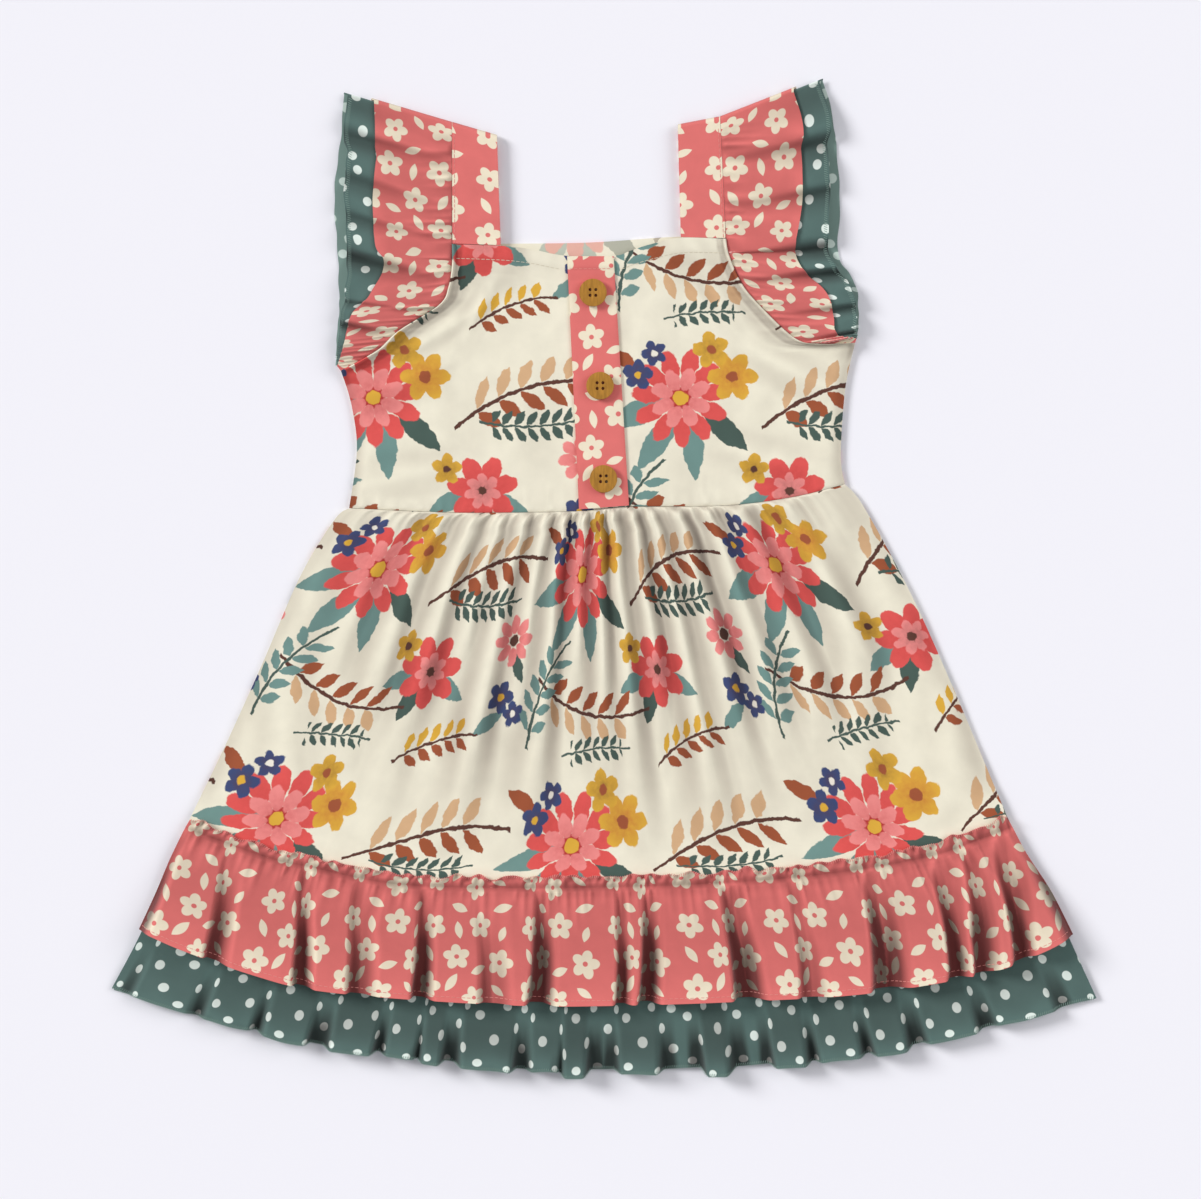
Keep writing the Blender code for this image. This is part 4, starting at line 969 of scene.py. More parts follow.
STRAPS = {
    "left": (((-84.9, 186.4), (-85.1, 254.8)), ((-57.9, 185.5), (-59.9, 247.5))),
    "right": (((43.0, 190.0), (41.4, 253.4)), ((68.1, 189.4), (65.0, 257.9))),
}
STRAP_BACK_SHIFT = 1.6
STRAP_LENGTH = 68.0


def strap_surface(side):
    """Outer face of a strap, from its front end over the shoulder to its back end."""
    left, right = STRAPS[side]

    def surface(across, up):
        climbed, turn = over_shoulder(up, 0.44, 0.12)
        radius = SHOULDER_TOP / 2
        x_low = mix(left[0][0], right[0][0], across)
        x_high = mix(left[1][0], right[1][0], across)
        y_low = mix(left[0][1], right[0][1], across) + np.where(turn < 0.0, STRAP_BACK_SHIFT, 0.0)
        y_high = mix(left[1][1], right[1][1], across) - radius
        x = mix(x_low, x_high, climbed)
        y = mix(y_low, y_high, climbed) + radius * np.cos(turn)
        z = radius + radius * np.sin(turn)
        along = np.where(turn > 0.0, climbed, 2.0 - climbed) * STRAP_LENGTH
        soft = 0.12 * uneven(x, y, 30.0, 21) * smooth((turn - 1.5) / 0.05)
        return x, y, z + soft, x + 10.0, along + 4.0

    return surface


FLUTTER_FRONT = 0.60
FLUTTER_BEND = 0.07
BACK_PEEK = 1.035
FRONT_RECESS = 0.045
FULL_WAVE_WIDTH = 36.0
FLUTTER_CUT = 205.0
FLUTTERS = {
    "left": (ARMHOLE_LEFT, SHOULDER_LEFT, FLUTTER_LEFT, FLUTTER_TROUGHS_LEFT, 31, 1.0),
    "right": (ARMHOLE_RIGHT, SHOULDER_RIGHT, FLUTTER_RIGHT, FLUTTER_TROUGHS_RIGHT, 32, -1.0),
}


def station_values(stations, share):
    """Edge and coral share of a flutter along its seam."""
    shares, *columns = np.array(stations).T
    return tuple(through(column, shares, share) for column in columns)


def flutter_seam(armhole, shoulder, share, outward_sign):
    """Places on a flutter's seam, just outside the armhole and the strap."""
    path = Line(*armhole.points.tolist(), shoulder)
    place = path.at(share)
    ahead = path.at(np.minimum(share + 0.004, 1.0))
    behind = path.at(np.maximum(share - 0.004, 0.0))
    run = ahead - behind
    run = run / np.hypot(run[0], run[1])
    return place + np.stack((-run[1], run[0])) * outward_sign * SEAM


def flutter_surface(side, is_coral):
    """Outer face of a flutter, from the armhole's tip over the shoulder and down the back."""
    armhole, shoulder, stations, troughs, seed, outward_sign = FLUTTERS[side]
    gathers = puckers(seed, 34, 1.15, 0.0065, 24.0, 0.05, 0.93)
    wave = bpy.context.scene.dress_sizes.flutter_wave / MM
    top = SHOULDER_TOP if is_coral else TEAL_SHOULDER_TOP
    bottom = BACK_OUTER if is_coral else BACK_INNER

    def surface(across, up):
        share, turn = over_shoulder(up, FLUTTER_FRONT, FLUTTER_BEND)
        edge_x, edge_y, coral = station_values(stations, share)
        seam_x, seam_y = flutter_seam(armhole, shoulder, share, outward_sign)
        outward = 1.0 - across if side == "left" else across
        if is_coral:
            outward = outward * coral
        width = np.hypot(edge_x - seam_x, edge_y - seam_y)
        radius = (top - bottom) / 2
        drawn_in = FRONT_RECESS * smooth((share - 0.42) / 0.08) * (1.0 - smooth((share - 0.84) / 0.04))
        drawn_in = np.where(turn > 1.55, drawn_in, 0.0) * smooth(outward / 0.9)
        wander = 0.018 * uneven(share * FLUTTER_CUT + 0.0 * outward, np.where(turn < 0.0, 90.0, 0.0), 22.0, 33)
        wander = wander * smooth((outward - 0.6) / 0.4) * smooth(share / 0.1) * smooth((1.0 - share) / 0.1)
        reach = outward * np.where(turn < 0.0, BACK_PEEK, 1.0 - drawn_in) + wander
        x = mix(seam_x, edge_x, reach)
        y = mix(seam_y, edge_y, reach) + radius * np.cos(turn)
        y = y - smooth(2.0 * share - 1.0) * SHOULDER_TOP / 2
        z = (top + bottom) / 2 + radius * np.sin(turn)
        past_coral = smooth((outward - coral) / (1.0 - coral)) * smooth((1.0 - share) / 0.15)
        height = wave * outward ** 0.7 * smooth(width / FULL_WAVE_WIDTH)
        for trough in troughs:
            middle = mix(trough.top, trough.hem, outward)
            height = height * (1.0 - trough.depth * dip(share - middle, 1.5 * trough.width, 0.6 * trough.width))
        height = height + pucker_height(gathers, share + 0.06 * outward, outward * width) * smooth(width / 12.0)
        height = height * smooth((1.0 - share) / 0.12)
        front = smooth((turn - 1.5) / 0.05)
        z = z + front * height - past_coral * LAYER * np.where(np.abs(turn) > 1.55, 1.0, 0.0)
        along = np.where(turn > 0.0, share, 2.0 - share) * FLUTTER_CUT
        return x, y, z, outward * width + 3.0, along

    return surface


# Skirt

GATHER_CROWDING = 0.30
SKIRT_CUT_WIDTH = 460.0
SKIRT_CUT_LENGTH = 210.0
HEADING_RISE = 0.085


def skirt_side(edge, flare, down, gap):
    """Places on a side seam of the skirt, which runs on a little under the heading."""
    reach = down * (1.0 + SKIRT_EDGE_REACH)
    below = np.maximum(0.0, reach - 1.0) / SKIRT_EDGE_REACH
    return moved(edge.at(reach), flare * below, mix(-gap, -SKIRT_UNDER_HEADING, below))


def skirt_place(across, down, gathered):
    """Places on the skirt, from the waist seam down to its lower edge under the heading."""
    gap = WAIST_SEAM if gathered else SEAM

    def waist(share):
        share = np.asarray(share, dtype=float)
        offset = 2.0 * share - 1.0
        crowded = 0.5 + 0.5 * mix(offset, offset ** 3, GATHER_CROWDING)
        return moved(WAIST.at(crowded if gathered else share), 0.0, -gap)

    return patch(
        lambda share: lower_seam(share, 0.0),
        waist,
        lambda share: skirt_side(SKIRT_EDGE_LEFT, SKIRT_LOWER_FLARE[0], 1.0 - share, gap),
        lambda share: skirt_side(SKIRT_EDGE_RIGHT, SKIRT_LOWER_FLARE[1], 1.0 - share, gap),
        across,
        1.0 - down,
    )


def heading_level(down):
    """How far the skirt has risen onto the back heading, 0 above it and 1 on it."""
    return smooth((down - (1.0 - 2.2 * HEADING_RISE)) / HEADING_RISE)


def skirt_front(across, up):
    """Outer face of the front skirt, gathered at the waist."""
    down = (1.0 - up) ** 1.15
    x, y = skirt_place(across, down, True)
    depth = down * SKIRT_CUT_LENGTH
    height = pucker_height(puckers(41, 64, 1.3, 0.0050, 34.0), across, depth)
    for ridge in SKIRT_RIDGES:
        opening = ridge.width * mix(0.8, 1.3, down)
        swell = smooth(down / 0.05) * (1.0 - smooth((down - 0.5 * ridge.reach) / (0.5 * ridge.reach)))
        height = height + 1.25 * ridge.height * dip(across - ridge.at, 1.3 * opening, 0.7 * opening) * swell
    height = height * smooth(np.minimum(across, 1.0 - across) / 0.05)
    height = height + 0.5 * uneven(x, y * 0.3, 34.0, 12) * smooth(down / 0.2) * smooth((1.0 - down) / 0.1)
    height = height - 0.35 * (1.0 - smooth(depth / 1.5))
    edge = smooth(1.0 - np.minimum(across, 1.0 - across) / 0.035)
    level = heading_level(down)
    z = WALL + FRONT_INNER - edge * LAYER * (1.0 - level) + height * (1.0 - level)
    return x, y, z, across * SKIRT_CUT_WIDTH, -depth


def skirt_back(across, up):
    """Outer face of the back skirt, on the table until it climbs onto the back heading."""
    down = 1.0 - up
    x, y = skirt_place(mix(BACK_INSET, 1.0 - BACK_INSET, across), down, False)
    z = BACK_OUTER + LAYER * heading_level(down)
    return x, y, z, across * SKIRT_CUT_WIDTH + 70.0, -down * SKIRT_CUT_LENGTH


# Hem ruffles

CORAL_DEPTH = 70.0
HEADING_DEPTH = 8.0
STITCHED = 1.0 - HEADING_DEPTH / CORAL_DEPTH
CORAL_HEM_WIDTH = 523.0
CORAL_HIDDEN = 0.030
CORAL_STITCH_ABOVE_HEM = 4.2
CORAL_CUT_WIDTH = 620.0
CORAL_CUT_DEPTH = 76.0


def coral_place(across, up):
    """Places on the coral ruffle, from its hem up to the top of its heading."""
    return patch(
        CORAL_HEM.at,
        HEADING.at,
        lambda share: CORAL_EDGE_LEFT.at(1.0 - share),
        lambda share: CORAL_EDGE_RIGHT.at(1.0 - share),
        across,
        up,
    )


def coral_front(across, up):
    """Outer face of the front coral ruffle with its frilled heading."""
    x, y = coral_place(across, up)
    fallen = np.clip(1.0 - up / STITCHED, 0.0, 1.0)
    frill = np.clip((up - STITCHED) / (1.0 - STITCHED), 0.0, 1.0)
    wave = bpy.context.scene.dress_sizes.coral_wave / MM
    height = wave * smooth(0.2 + 0.8 * fallen) * smooth(fallen / 0.12)
    hidden = 0.0
    for trough in CORAL_TROUGHS:
        middle = mix(trough.top, trough.hem, fallen)
        offset = (across - middle) * CORAL_HEM_WIDTH
        height = height * (1.0 - trough.depth * valley(offset, trough.width))
        hidden = hidden + CORAL_HIDDEN * trough.depth * 0.5 * (1.0 + np.tanh(offset / trough.width * 1.3))
    depth = fallen * (CORAL_DEPTH - HEADING_DEPTH)
    height = height + pucker_height(puckers(51, 96, 1.6, 0.0032, 20.0, 0.01, 0.99), across, depth)
    ends = smooth(np.minimum(across, 1.0 - across) / 0.02)
    ripple = 0.0
    for gather in puckers(52, 84, 1.0, 0.0036, 1.0, 0.005, 0.995):
        ripple = ripple + gather.height * bump(across - gather.at - 0.004 * frill, gather.width)
    z = WALL + FRONT_OUTER + height * ends + 2.6 * smooth(frill) * ripple
    z = z - 1.1 * bump((up - STITCHED) * CORAL_DEPTH, 1.1)
    y = y + frill * (1.7 * uneven(across * 500.0, 0.0 * across, 13.0, 53) - 0.4)
    y = y - 1.6 * smooth(1.0 - up / 0.5) * (height / wave - 0.6)
    along = (across + hidden) * (CORAL_HEM_WIDTH * 0.97)
    return x, y, z, along, up * CORAL_DEPTH * 1.08


def coral_back(across, up):
    """Outer face of the back coral ruffle, on the table."""
    x, y = coral_place(mix(0.003, 0.997, across), mix(0.01, 0.995, up))
    return x, y, BACK_OUTER + 0.0 * x, across * CORAL_CUT_WIDTH + 20.0, up * CORAL_CUT_DEPTH


def teal_place(across, up):
    """Places on the teal ruffle, from its hem up to its seam beside the skirt's lower edge."""
    return patch(
        TEAL_HEM.at,
        lambda share: lower_seam(share, LOWER_SEAM),
        lambda share: TEAL_EDGE_LEFT.at(1.0 - share),
        lambda share: TEAL_EDGE_RIGHT.at(1.0 - share),
        across,
        up,
    )


TEAL_HEM_WIDTH = 552.0
TEAL_SHOWING_SHARE = 0.335
TEAL_HIDDEN = 0.011
TEAL_DEPTH = 103.0
TEAL_CUT_WIDTH = 640.0


def teal_front(across, up):
    """Outer face of the front teal ruffle, level under the coral one and waved below it."""
    x, y = teal_place(across, up)
    out = smooth(1.0 - up / TEAL_SHOWING_SHARE)
    swell = bpy.context.scene.dress_sizes.teal_wave
    height = 0.0 * x
    drop = 0.0 * x
    hidden = 0.0
    for crest in TEAL_CRESTS:
        offset = (across - crest.at) * TEAL_HEM_WIDTH
        share = 1.0 - smooth((np.abs(offset) - crest.width + 2.6) / 5.2)
        height = np.maximum(height, crest.height * swell * share)
        drop = np.maximum(drop, crest.drop * share)
        for edge in (-crest.width, crest.width):
            hidden = hidden + TEAL_HIDDEN * 0.5 * (1.0 + np.tanh((offset - edge) / 2.6))
    fine = 0.35 * uneven(across * TEAL_HEM_WIDTH, up * 30.0, 14.0, 61) * out
    z = WALL + FRONT_INNER + out * (height - LAYER + fine)
    y = y - drop * out + 0.5 * uneven(across * TEAL_HEM_WIDTH, 0.0 * up, 26.0, 62) * out
    return x, y, z, (across + hidden) * TEAL_HEM_WIDTH, up * TEAL_DEPTH


def teal_back(across, up):
    """Outer face of the back teal ruffle, on the coral one and then down on the table."""
    x, y = teal_place(mix(BACK_INSET, 1.0 - BACK_INSET, across), mix(0.006, 1.0, up))
    beyond = smooth((TEAL_SHOWING_SHARE - up) / 0.09)
    y = y + 1.2 * uneven(across * TEAL_HEM_WIDTH, 0.0 * up, 60.0, 63) * smooth(1.0 - up / 0.2)
    return x, y, BACK_INNER * (1.0 - beyond), across * TEAL_CUT_WIDTH + 15.0, up * TEAL_DEPTH


# Sewing

THREAD_SIDES = 5
# One stitch as a short rounded thread: rings along its length, each a share of it and of the girth
STITCH_RINGS = ((-0.5, 0.25), (-0.3, 0.9), (0.3, 0.9), (0.5, 0.25))
OVERLOCK_SLANT = 68.0


def sew(name, places, directions, length, girth, thread):
    """A row of stitches, each a small rounded thread laid along its direction."""
    shift_x, shift_y = home_shift()
    points = []
    faces = []
    for place, direction in zip(places, directions):
        run = np.array(direction, dtype=float)
        run /= np.linalg.norm(run)
        side = np.cross((0.0, 0.0, 1.0), run)
        side /= np.linalg.norm(side)
        rise = np.cross(run, side)
        first = len(points)
        for share, girth_share in STITCH_RINGS:
            middle = np.array(place) + run * share * length
            for step in range(THREAD_SIDES):
                turn = 2.0 * math.pi * step / THREAD_SIDES
                out = side * math.cos(turn) + rise * 0.7 * math.sin(turn)
                points.append(middle + out * girth * girth_share / 2)
        for ring in range(len(STITCH_RINGS) - 1):
            low = first + ring * THREAD_SIDES
            for step in range(THREAD_SIDES):
                after = (step + 1) % THREAD_SIDES
                above = low + THREAD_SIDES
                faces.append((low + step, low + after, above + after, above + step))
        faces.append(tuple(first + step for step in reversed(range(THREAD_SIDES))))
        last = first + (len(STITCH_RINGS) - 1) * THREAD_SIDES
        faces.append(tuple(last + step for step in range(THREAD_SIDES)))
    mesh = bpy.data.meshes.new(name)
    moved_points = (np.array(points) + (shift_x, shift_y, 0.0)) * MM
    mesh.from_pydata(moved_points.tolist(), [], faces)
    mesh.polygons.foreach_set("use_smooth", np.ones(len(faces), dtype=bool))
    return place_piece(name, mesh, thread)


def seam_row(surface, across, up, pitch, lift, slant=0.0):
    """Even places along a line on a surface, and the direction of each stitch."""
    values = surface(np.asarray(across, dtype=float), np.asarray(up, dtype=float))
    line = np.stack([np.broadcast_to(value, np.shape(across)) for value in values[:3]], axis=1)
    steps = np.linalg.norm(np.diff(line, axis=0), axis=1)
    lengths = np.concatenate(([0.0], np.cumsum(steps)))
    count = int(lengths[-1] / pitch)
    marks = (np.arange(count) + 0.5) * pitch

    def read(along):
        return np.stack([np.interp(along, lengths, line[:, axis]) for axis in range(3)], axis=1)

    places = read(marks)
    run = read(marks + 0.5) - read(marks - 0.5)
    if slant:
        turn = math.radians(slant)
        run = np.stack(
            (
                run[:, 0] * math.cos(turn) - run[:, 1] * math.sin(turn),
                run[:, 0] * math.sin(turn) + run[:, 1] * math.cos(turn),
                0.15 * run[:, 2],
            ),
            axis=1,
        )
    places[:, 2] += lift
    return places, run


def sew_line(name, surface, across, up, pitch, lift, length, girth, thread, slant=0.0):
    """Stitches along a line on a surface, where across or up may stay the same all along."""
    across, up = np.broadcast_arrays(across, up)
    places, run = seam_row(surface, across, up, pitch, lift, slant)
    sew(name, places, run, length, girth, thread)


# Operators

RIM_ROUND = 0.0006
RIM_LIFT = 0.0001
DISH_SLOPE = 0.0007
HOLE_OFFSET = 0.0016
HOLE_RADIUS = 0.00085
FLOOR_SIZE = 8.0
FLOOR_DROP = 0.0002
SENSOR_WIDTH = 36.0

class DRESS_OT_bodice(bpy.types.Operator):
    """Front and back bodice"""

    bl_idname = "dress.bodice"
    bl_label = "Bodice"

    def execute(self, context):
        """Make both panels of the bodice."""
        front = weave_piece("bodice_front_cloth", bodice_front, 210, 130, "cream_print")
        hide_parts("bodice_front")
        back = weave_piece("bodice_back_cloth", bodice_back, 60, 40, "cream_print", face_down=True)
        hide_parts("bodice_back")
        return {"FINISHED"}


class DRESS_OT_placket(bpy.types.Operator):
    """Placket strip down the front"""

    bl_idname = "dress.placket"
    bl_label = "Placket"

    def execute(self, context):
        """Make the placket on the front bodice."""
        strip = weave_piece("placket_cloth", placket, 30, 120, "coral_flowers")
        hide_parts("placket")
        return {"FINISHED"}


class DRESS_OT_buttons(bpy.types.Operator):
    """Three sewn-on buttons with four holes each"""

    bl_idname = "dress.buttons"
    bl_label = "Buttons"

    rim: bpy.props.FloatProperty(name="Rim", description="Width of the raised rim", default=0.0020, unit="LENGTH")
    dish: bpy.props.FloatProperty(name="Dish", description="Depth of the middle", default=0.0009, unit="LENGTH")

    def execute(self, context):
        """Turn, drill and sew on each button."""
        for name, x, y in BUTTON_PLACES:
            self.make_button(context, name, x, y)
        return {"FINISHED"}

    def make_button(self, context, name, x, y):
        """One button at its place: a disc with a raised rim and a dished middle."""
        low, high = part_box(name)
        height = high[2] - low[2]
        middle = ((low[0] + high[0]) / 2, (low[1] + high[1]) / 2, (low[2] + high[2]) / 2)
        radius = context.scene.dress_sizes.button / 2
        bpy.ops.object.select_all(action="DESELECT")
        bpy.ops.mesh.primitive_cylinder_add(vertices=72, radius=radius, depth=height, location=middle)
        button = context.object
        button.name = name + "_turned"
        bpy.ops.object.transform_apply(location=True, rotation=True, scale=True)
        bpy.ops.object.mode_set(mode="EDIT")
        shape = bmesh.from_edit_mesh(button.data)
        for face in shape.faces:
            face.select = face.normal.z > 0.9
        shape.select_flush_mode()
        bmesh.update_edit_mesh(button.data)
        bpy.ops.mesh.inset(thickness=RIM_ROUND)
        bpy.ops.transform.translate(value=(0.0, 0.0, RIM_LIFT))
        bpy.ops.mesh.inset(thickness=self.rim - RIM_ROUND)
        bpy.ops.mesh.inset(thickness=DISH_SLOPE)
        bpy.ops.transform.translate(value=(0.0, 0.0, -self.dish))
        bpy.ops.object.mode_set(mode="OBJECT")
        self.drill(context, button, middle, height)
        bevel = button.modifiers.new("soft edges", "BEVEL")
        bevel.width = 0.00018
        bevel.segments = 3
        bevel.limit_method = "ANGLE"
        bevel.angle_limit = math.radians(25.0)
        context.view_layer.objects.active = button
        bpy.ops.object.modifier_apply(modifier=bevel.name)
        bpy.ops.object.select_all(action="DESELECT")
        button.select_set(True)
        bpy.ops.object.shade_smooth_by_angle(angle=math.radians(35.0))
        button.data.materials.clear()
        button.data.materials.append(finish_named("button_wood"))
        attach(button, "root")
        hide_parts(name)
        self.sew_on(name, x, y, high[2] / MM - self.dish / MM)

    def drill(self, context, button, middle, height):
        """Four thread holes in a square."""
        pins = []
        for side in (-1, 1):
            for end in (-1, 1):
                bpy.ops.object.select_all(action="DESELECT")
                place = (middle[0] + side * HOLE_OFFSET, middle[1] + end * HOLE_OFFSET, middle[2])
                bpy.ops.mesh.primitive_cylinder_add(
                    vertices=20, radius=HOLE_RADIUS, depth=height * 3, location=place
                )
                pins.append(context.object)
        for pin in pins:
            cut = button.modifiers.new("hole", "BOOLEAN")
            cut.operation = "DIFFERENCE"
            cut.object = pin
            context.view_layer.objects.active = button
            bpy.ops.object.modifier_apply(modifier=cut.name)
            bpy.data.objects.remove(pin, do_unlink=True)

    def sew_on(self, name, x, y, top):
        """Two parallel threads through the holes."""
        places = [(x, y + side * HOLE_OFFSET / MM, top + 0.15) for side in (-1, 1)]
        sew(name + "_thread", places, [(1.0, 0.0, 0.0)] * 2, 3.3, 0.75, "thread_brown")


class DRESS_OT_straps(bpy.types.Operator):
    """Both shoulder straps"""

    bl_idname = "dress.straps"
    bl_label = "Straps"

    def execute(self, context):
        """Make each strap, folded over the shoulder."""
        for side in STRAPS:
            strap = weave_piece(
                f"strap_{side}_cloth", strap_surface(side), 24, 150, "coral_flowers", folded=True
            )
            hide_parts(f"strap_{side}")
        return {"FINISHED"}


class DRESS_OT_flutters(bpy.types.Operator):
    """Coral and teal flutters of both sleeves"""

    bl_idname = "dress.flutters"
    bl_label = "Flutters"

    def execute(self, context):
        """Make each flutter, gathered at the armhole and folded over the shoulder."""
        for side in ("left", "right"):
            teal = weave_piece(
                f"flutter_teal_{side}_cloth", flutter_surface(side, False), 60, 330, "teal_dots", folded=True
            )
            coral = weave_piece(
                f"flutter_coral_{side}_cloth", flutter_surface(side, True), 50, 330, "coral_flowers",
                folded=True,
            )
            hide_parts(f"flutter_teal_{side}")
            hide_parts(f"flutter_coral_{side}")
        return {"FINISHED"}


class DRESS_OT_skirt(bpy.types.Operator):
    """Front and back skirt"""

    bl_idname = "dress.skirt"
    bl_label = "Skirt"

    def execute(self, context):
        """Make both skirt panels."""
        front = weave_piece("skirt_front_cloth", skirt_front, 360, 120, "cream_print")
        back = weave_piece("skirt_back_cloth", skirt_back, 80, 60, "cream_print", face_down=True)
        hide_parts("skirt_front")
        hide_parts("skirt_back")
        return {"FINISHED"}


class DRESS_OT_ruffles(bpy.types.Operator):
    """Coral and teal hem ruffles, front and back"""

    bl_idname = "dress.ruffles"
    bl_label = "Hem ruffles"

    def execute(self, context):
        """Make the four ruffles."""
        coral_front_piece = weave_piece("ruffle_coral_front_cloth", coral_front, 620, 54, "coral_flowers")
        coral_back_piece = weave_piece(
            "ruffle_coral_back_cloth", coral_back, 90, 20, "coral_flowers", face_down=True
        )
        teal_front_piece = weave_piece("ruffle_teal_front_cloth", teal_front, 560, 60, "teal_dots")
        teal_back_piece = weave_piece(
            "ruffle_teal_back_cloth", teal_back, 160, 60, "teal_dots", face_down=True
        )
        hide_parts("ruffle_coral_front")
        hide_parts("ruffle_coral_back")
        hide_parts("ruffle_teal_front")
        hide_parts("ruffle_teal_back")
        return {"FINISHED"}


class DRESS_OT_sewing(bpy.types.Operator):
    """Topstitching and overlocked edges"""

    bl_idname = "dress.sewing"
    bl_label = "Sewing"

    def execute(self, context):
        """Sew each visible line."""
        stitch = context.scene.dress_sizes.stitch / MM
        even = np.linspace(0.0, 1.0, 900)
        inside = mix(0.002, 0.998, even)
        neck_up = 1.0 - NECK_HEM / BODICE_LENGTH
        for side, low, high in (("left", 0.02, 0.405), ("right", 0.60, 0.98)):
            line = (bodice_front, mix(low, high, even), neck_up)
            sew_line(f"neck_stitches_{side}", *line, stitch + 0.5, 0.05, stitch, 0.42, "thread_cream")
        line = (coral_front, inside, CORAL_STITCH_ABOVE_HEM / CORAL_DEPTH)
        sew_line("coral_hem_stitches", *line, stitch + 0.6, 0.02, stitch, 0.40, "thread_coral")
        line = (coral_front, inside, STITCHED)
        sew_line("heading_stitches", *line, stitch + 0.3, 0.02, stitch, 0.40, "thread_coral")
        line = (placket, mix(0.03, 0.97, even), 1.0 - PLACKET_FOLD / PLACKET_LENGTH)
        sew_line("placket_stitches", *line, 2.6, 0.03, 2.1, 0.4, "thread_coral")
        line = (teal_front, even, 0.012)
        sew_line("teal_hem_overlock", *line, 1.25, 0.05, 2.6, 0.42, "thread_teal", OVERLOCK_SLANT)
        line = (coral_front, even, 0.99)
        sew_line("heading_overlock", *line, 1.35, 0.05, 1.9, 0.38, "thread_coral", OVERLOCK_SLANT)
        for side, edge, inner in (("left", 0.03, 0.05), ("right", 0.97, 0.95)):
            line = (flutter_surface(side, False), edge, np.linspace(0.03, 0.60, 900))
            name = f"flutter_overlock_{side}"
            sew_line(name, *line, 1.25, 0.05, 2.4, 0.4, "thread_teal", OVERLOCK_SLANT)
            line = (strap_surface(side), inner, np.linspace(0.0, 0.43, 300))
            sew_line(f"strap_stitches_{side}", *line, stitch + 0.5, 0.03, stitch, 0.4, "thread_coral")
        return {"FINISHED"}


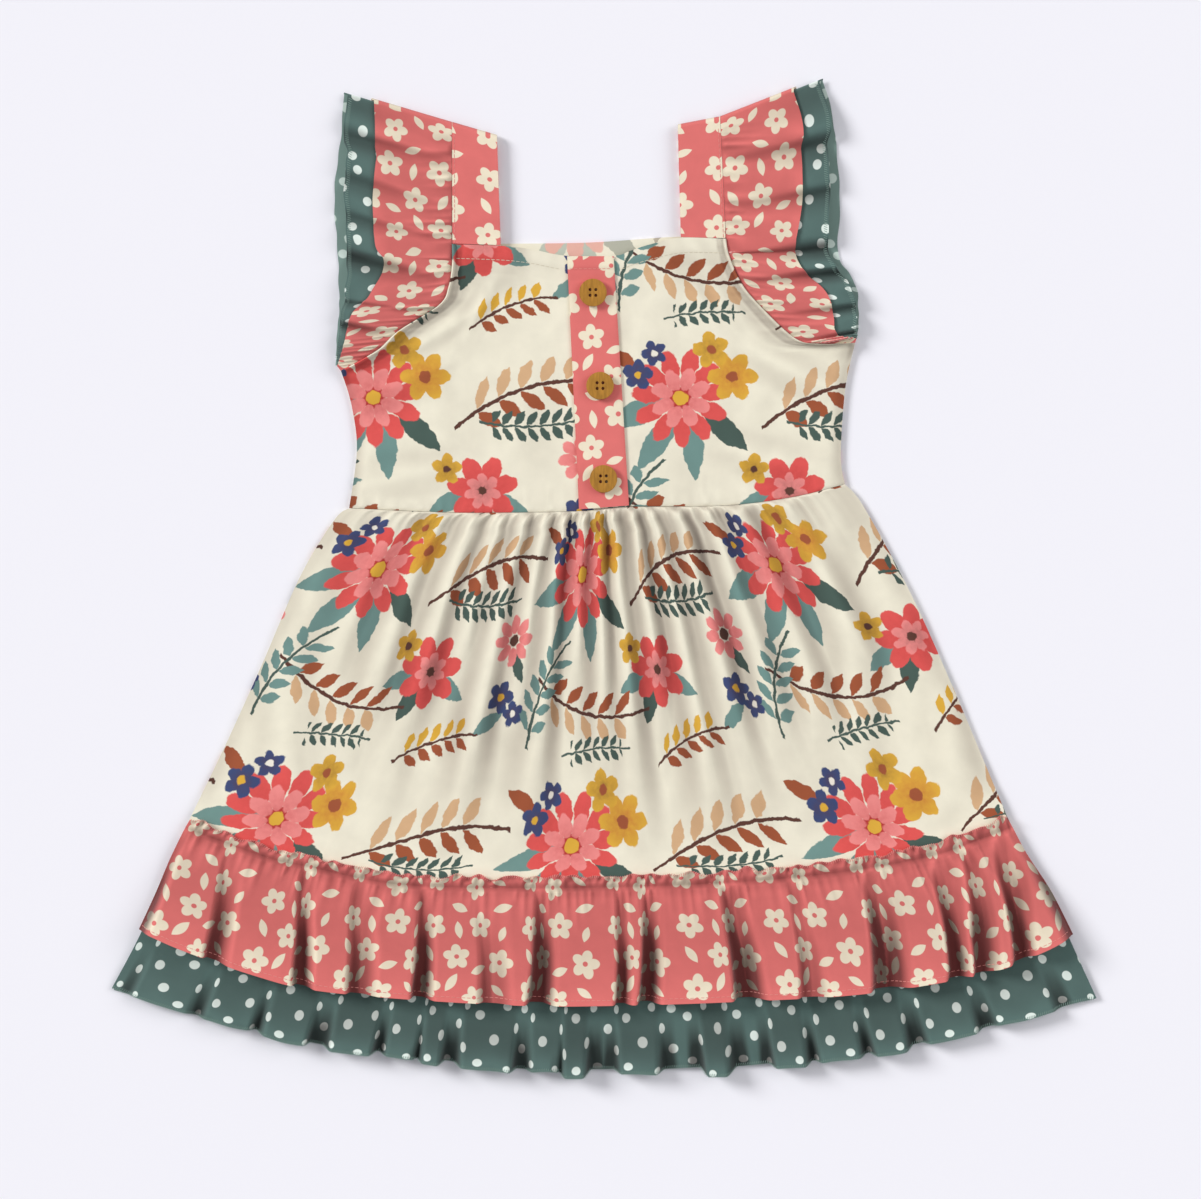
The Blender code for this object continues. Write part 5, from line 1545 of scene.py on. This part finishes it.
class DRESS_OT_stage(bpy.types.Operator):
    """Floor, soft studio light and camera"""

    bl_idname = "dress.stage"
    bl_label = "Stage"

    camera_height: bpy.props.FloatProperty(
        name="Camera height", description="Height of the camera over the floor", default=2.4, unit="LENGTH"
    )

    def execute(self, context):
        """Lay the floor, hang the lights and set the camera straight above."""
        bpy.ops.object.select_all(action="DESELECT")
        bpy.ops.mesh.primitive_plane_add(size=FLOOR_SIZE, location=(0.0, 0.0, -FLOOR_DROP))
        floor = context.object
        floor.name = "floor"
        bpy.ops.object.transform_apply(location=True)
        floor.data.materials.append(floor_finish())
        self.hang_light("key", (-1.6, 0.75, 1.0), 22.0, 2.6)
        self.hang_light("fill", (1.5, 0.5, 1.1), 40.0, 1.05)
        world = context.scene.world or bpy.data.worlds.new("studio")
        context.scene.world = world
        world.use_nodes = True
        background = world.node_tree.nodes["Background"]
        background.inputs["Color"].default_value = (0.97, 0.97, 1.0, 1.0)
        background.inputs["Strength"].default_value = 0.45
        context.scene.view_settings.view_transform = "Standard"
        self.set_camera(context)
        return {"FINISHED"}

    def hang_light(self, name, place, spread, strength):
        """A distant softbox: even light over the whole dress, with a spread in degrees for soft shadows."""
        lamp = bpy.data.lights.new(name, "SUN")
        lamp.angle = math.radians(spread)
        lamp.energy = strength
        holder = bpy.data.objects.new(name, lamp)
        bpy.context.scene.collection.objects.link(holder)
        holder.location = place
        away = np.array(place)
        away /= np.linalg.norm(away)
        holder.rotation_euler = (math.acos(away[2]), 0.0, math.atan2(away[1], away[0]) + math.pi / 2)

    def set_camera(self, context):
        """Camera straight above the point that the photo has at its middle."""
        shift_x, shift_y = home_shift()
        middle_x = (PHOTO_WIDTH / 2 - PHOTO_ORIGIN_X) * MM_PER_PIXEL + shift_x
        middle_y = (PHOTO_ORIGIN_Y - PHOTO_HEIGHT / 2) * MM_PER_PIXEL + shift_y
        seen_level = 0.004
        camera = bpy.data.cameras.new("camera")
        camera.sensor_width = SENSOR_WIDTH
        camera.lens = SENSOR_WIDTH * (self.camera_height - seen_level) / (PHOTO_WIDTH * MM_PER_PIXEL * MM)
        camera.dof.use_dof = False
        holder = bpy.data.objects.new("camera", camera)
        context.scene.collection.objects.link(holder)
        holder.location = (middle_x * MM, middle_y * MM, self.camera_height)
        context.scene.camera = holder


class DRESS_PT_panel(bpy.types.Panel):
    """Lists the operators that make the dress"""

    bl_label = "Dress"
    bl_idname = "DRESS_PT_panel"
    bl_space_type = "VIEW_3D"
    bl_region_type = "UI"
    bl_category = "Dress"

    def draw(self, context):
        """Show sizes, colours and one button for each operator."""
        for group in (context.scene.dress_sizes, context.scene.dress_colours):
            box = self.layout.box()
            for name in group.__annotations__:
                box.prop(group, name)
        for operator in OPERATORS:
            self.layout.operator(operator.bl_idname)


OPERATORS = (
    DRESS_OT_stage,
    DRESS_OT_bodice,
    DRESS_OT_placket,
    DRESS_OT_buttons,
    DRESS_OT_straps,
    DRESS_OT_flutters,
    DRESS_OT_skirt,
    DRESS_OT_ruffles,
    DRESS_OT_sewing,
)
CLASSES = (DressSizes, DressColours, *OPERATORS, DRESS_PT_panel)


def register():
    """Add the classes and the scene's settings."""
    for item in CLASSES:
        bpy.utils.register_class(item)
    bpy.types.Scene.dress_sizes = bpy.props.PointerProperty(type=DressSizes)
    bpy.types.Scene.dress_colours = bpy.props.PointerProperty(type=DressColours)


def unregister():
    """Take them out again."""
    del bpy.types.Scene.dress_colours
    del bpy.types.Scene.dress_sizes
    for item in reversed(CLASSES):
        bpy.utils.unregister_class(item)


def main():
    """Make the whole picture."""
    register()
    bpy.ops.dress.stage()
    bpy.ops.dress.bodice()
    bpy.ops.dress.placket()
    bpy.ops.dress.buttons()
    bpy.ops.dress.straps()
    bpy.ops.dress.flutters()
    bpy.ops.dress.skirt()
    bpy.ops.dress.ruffles()
    bpy.ops.dress.sewing()


if __name__ == "__main__":
    main()
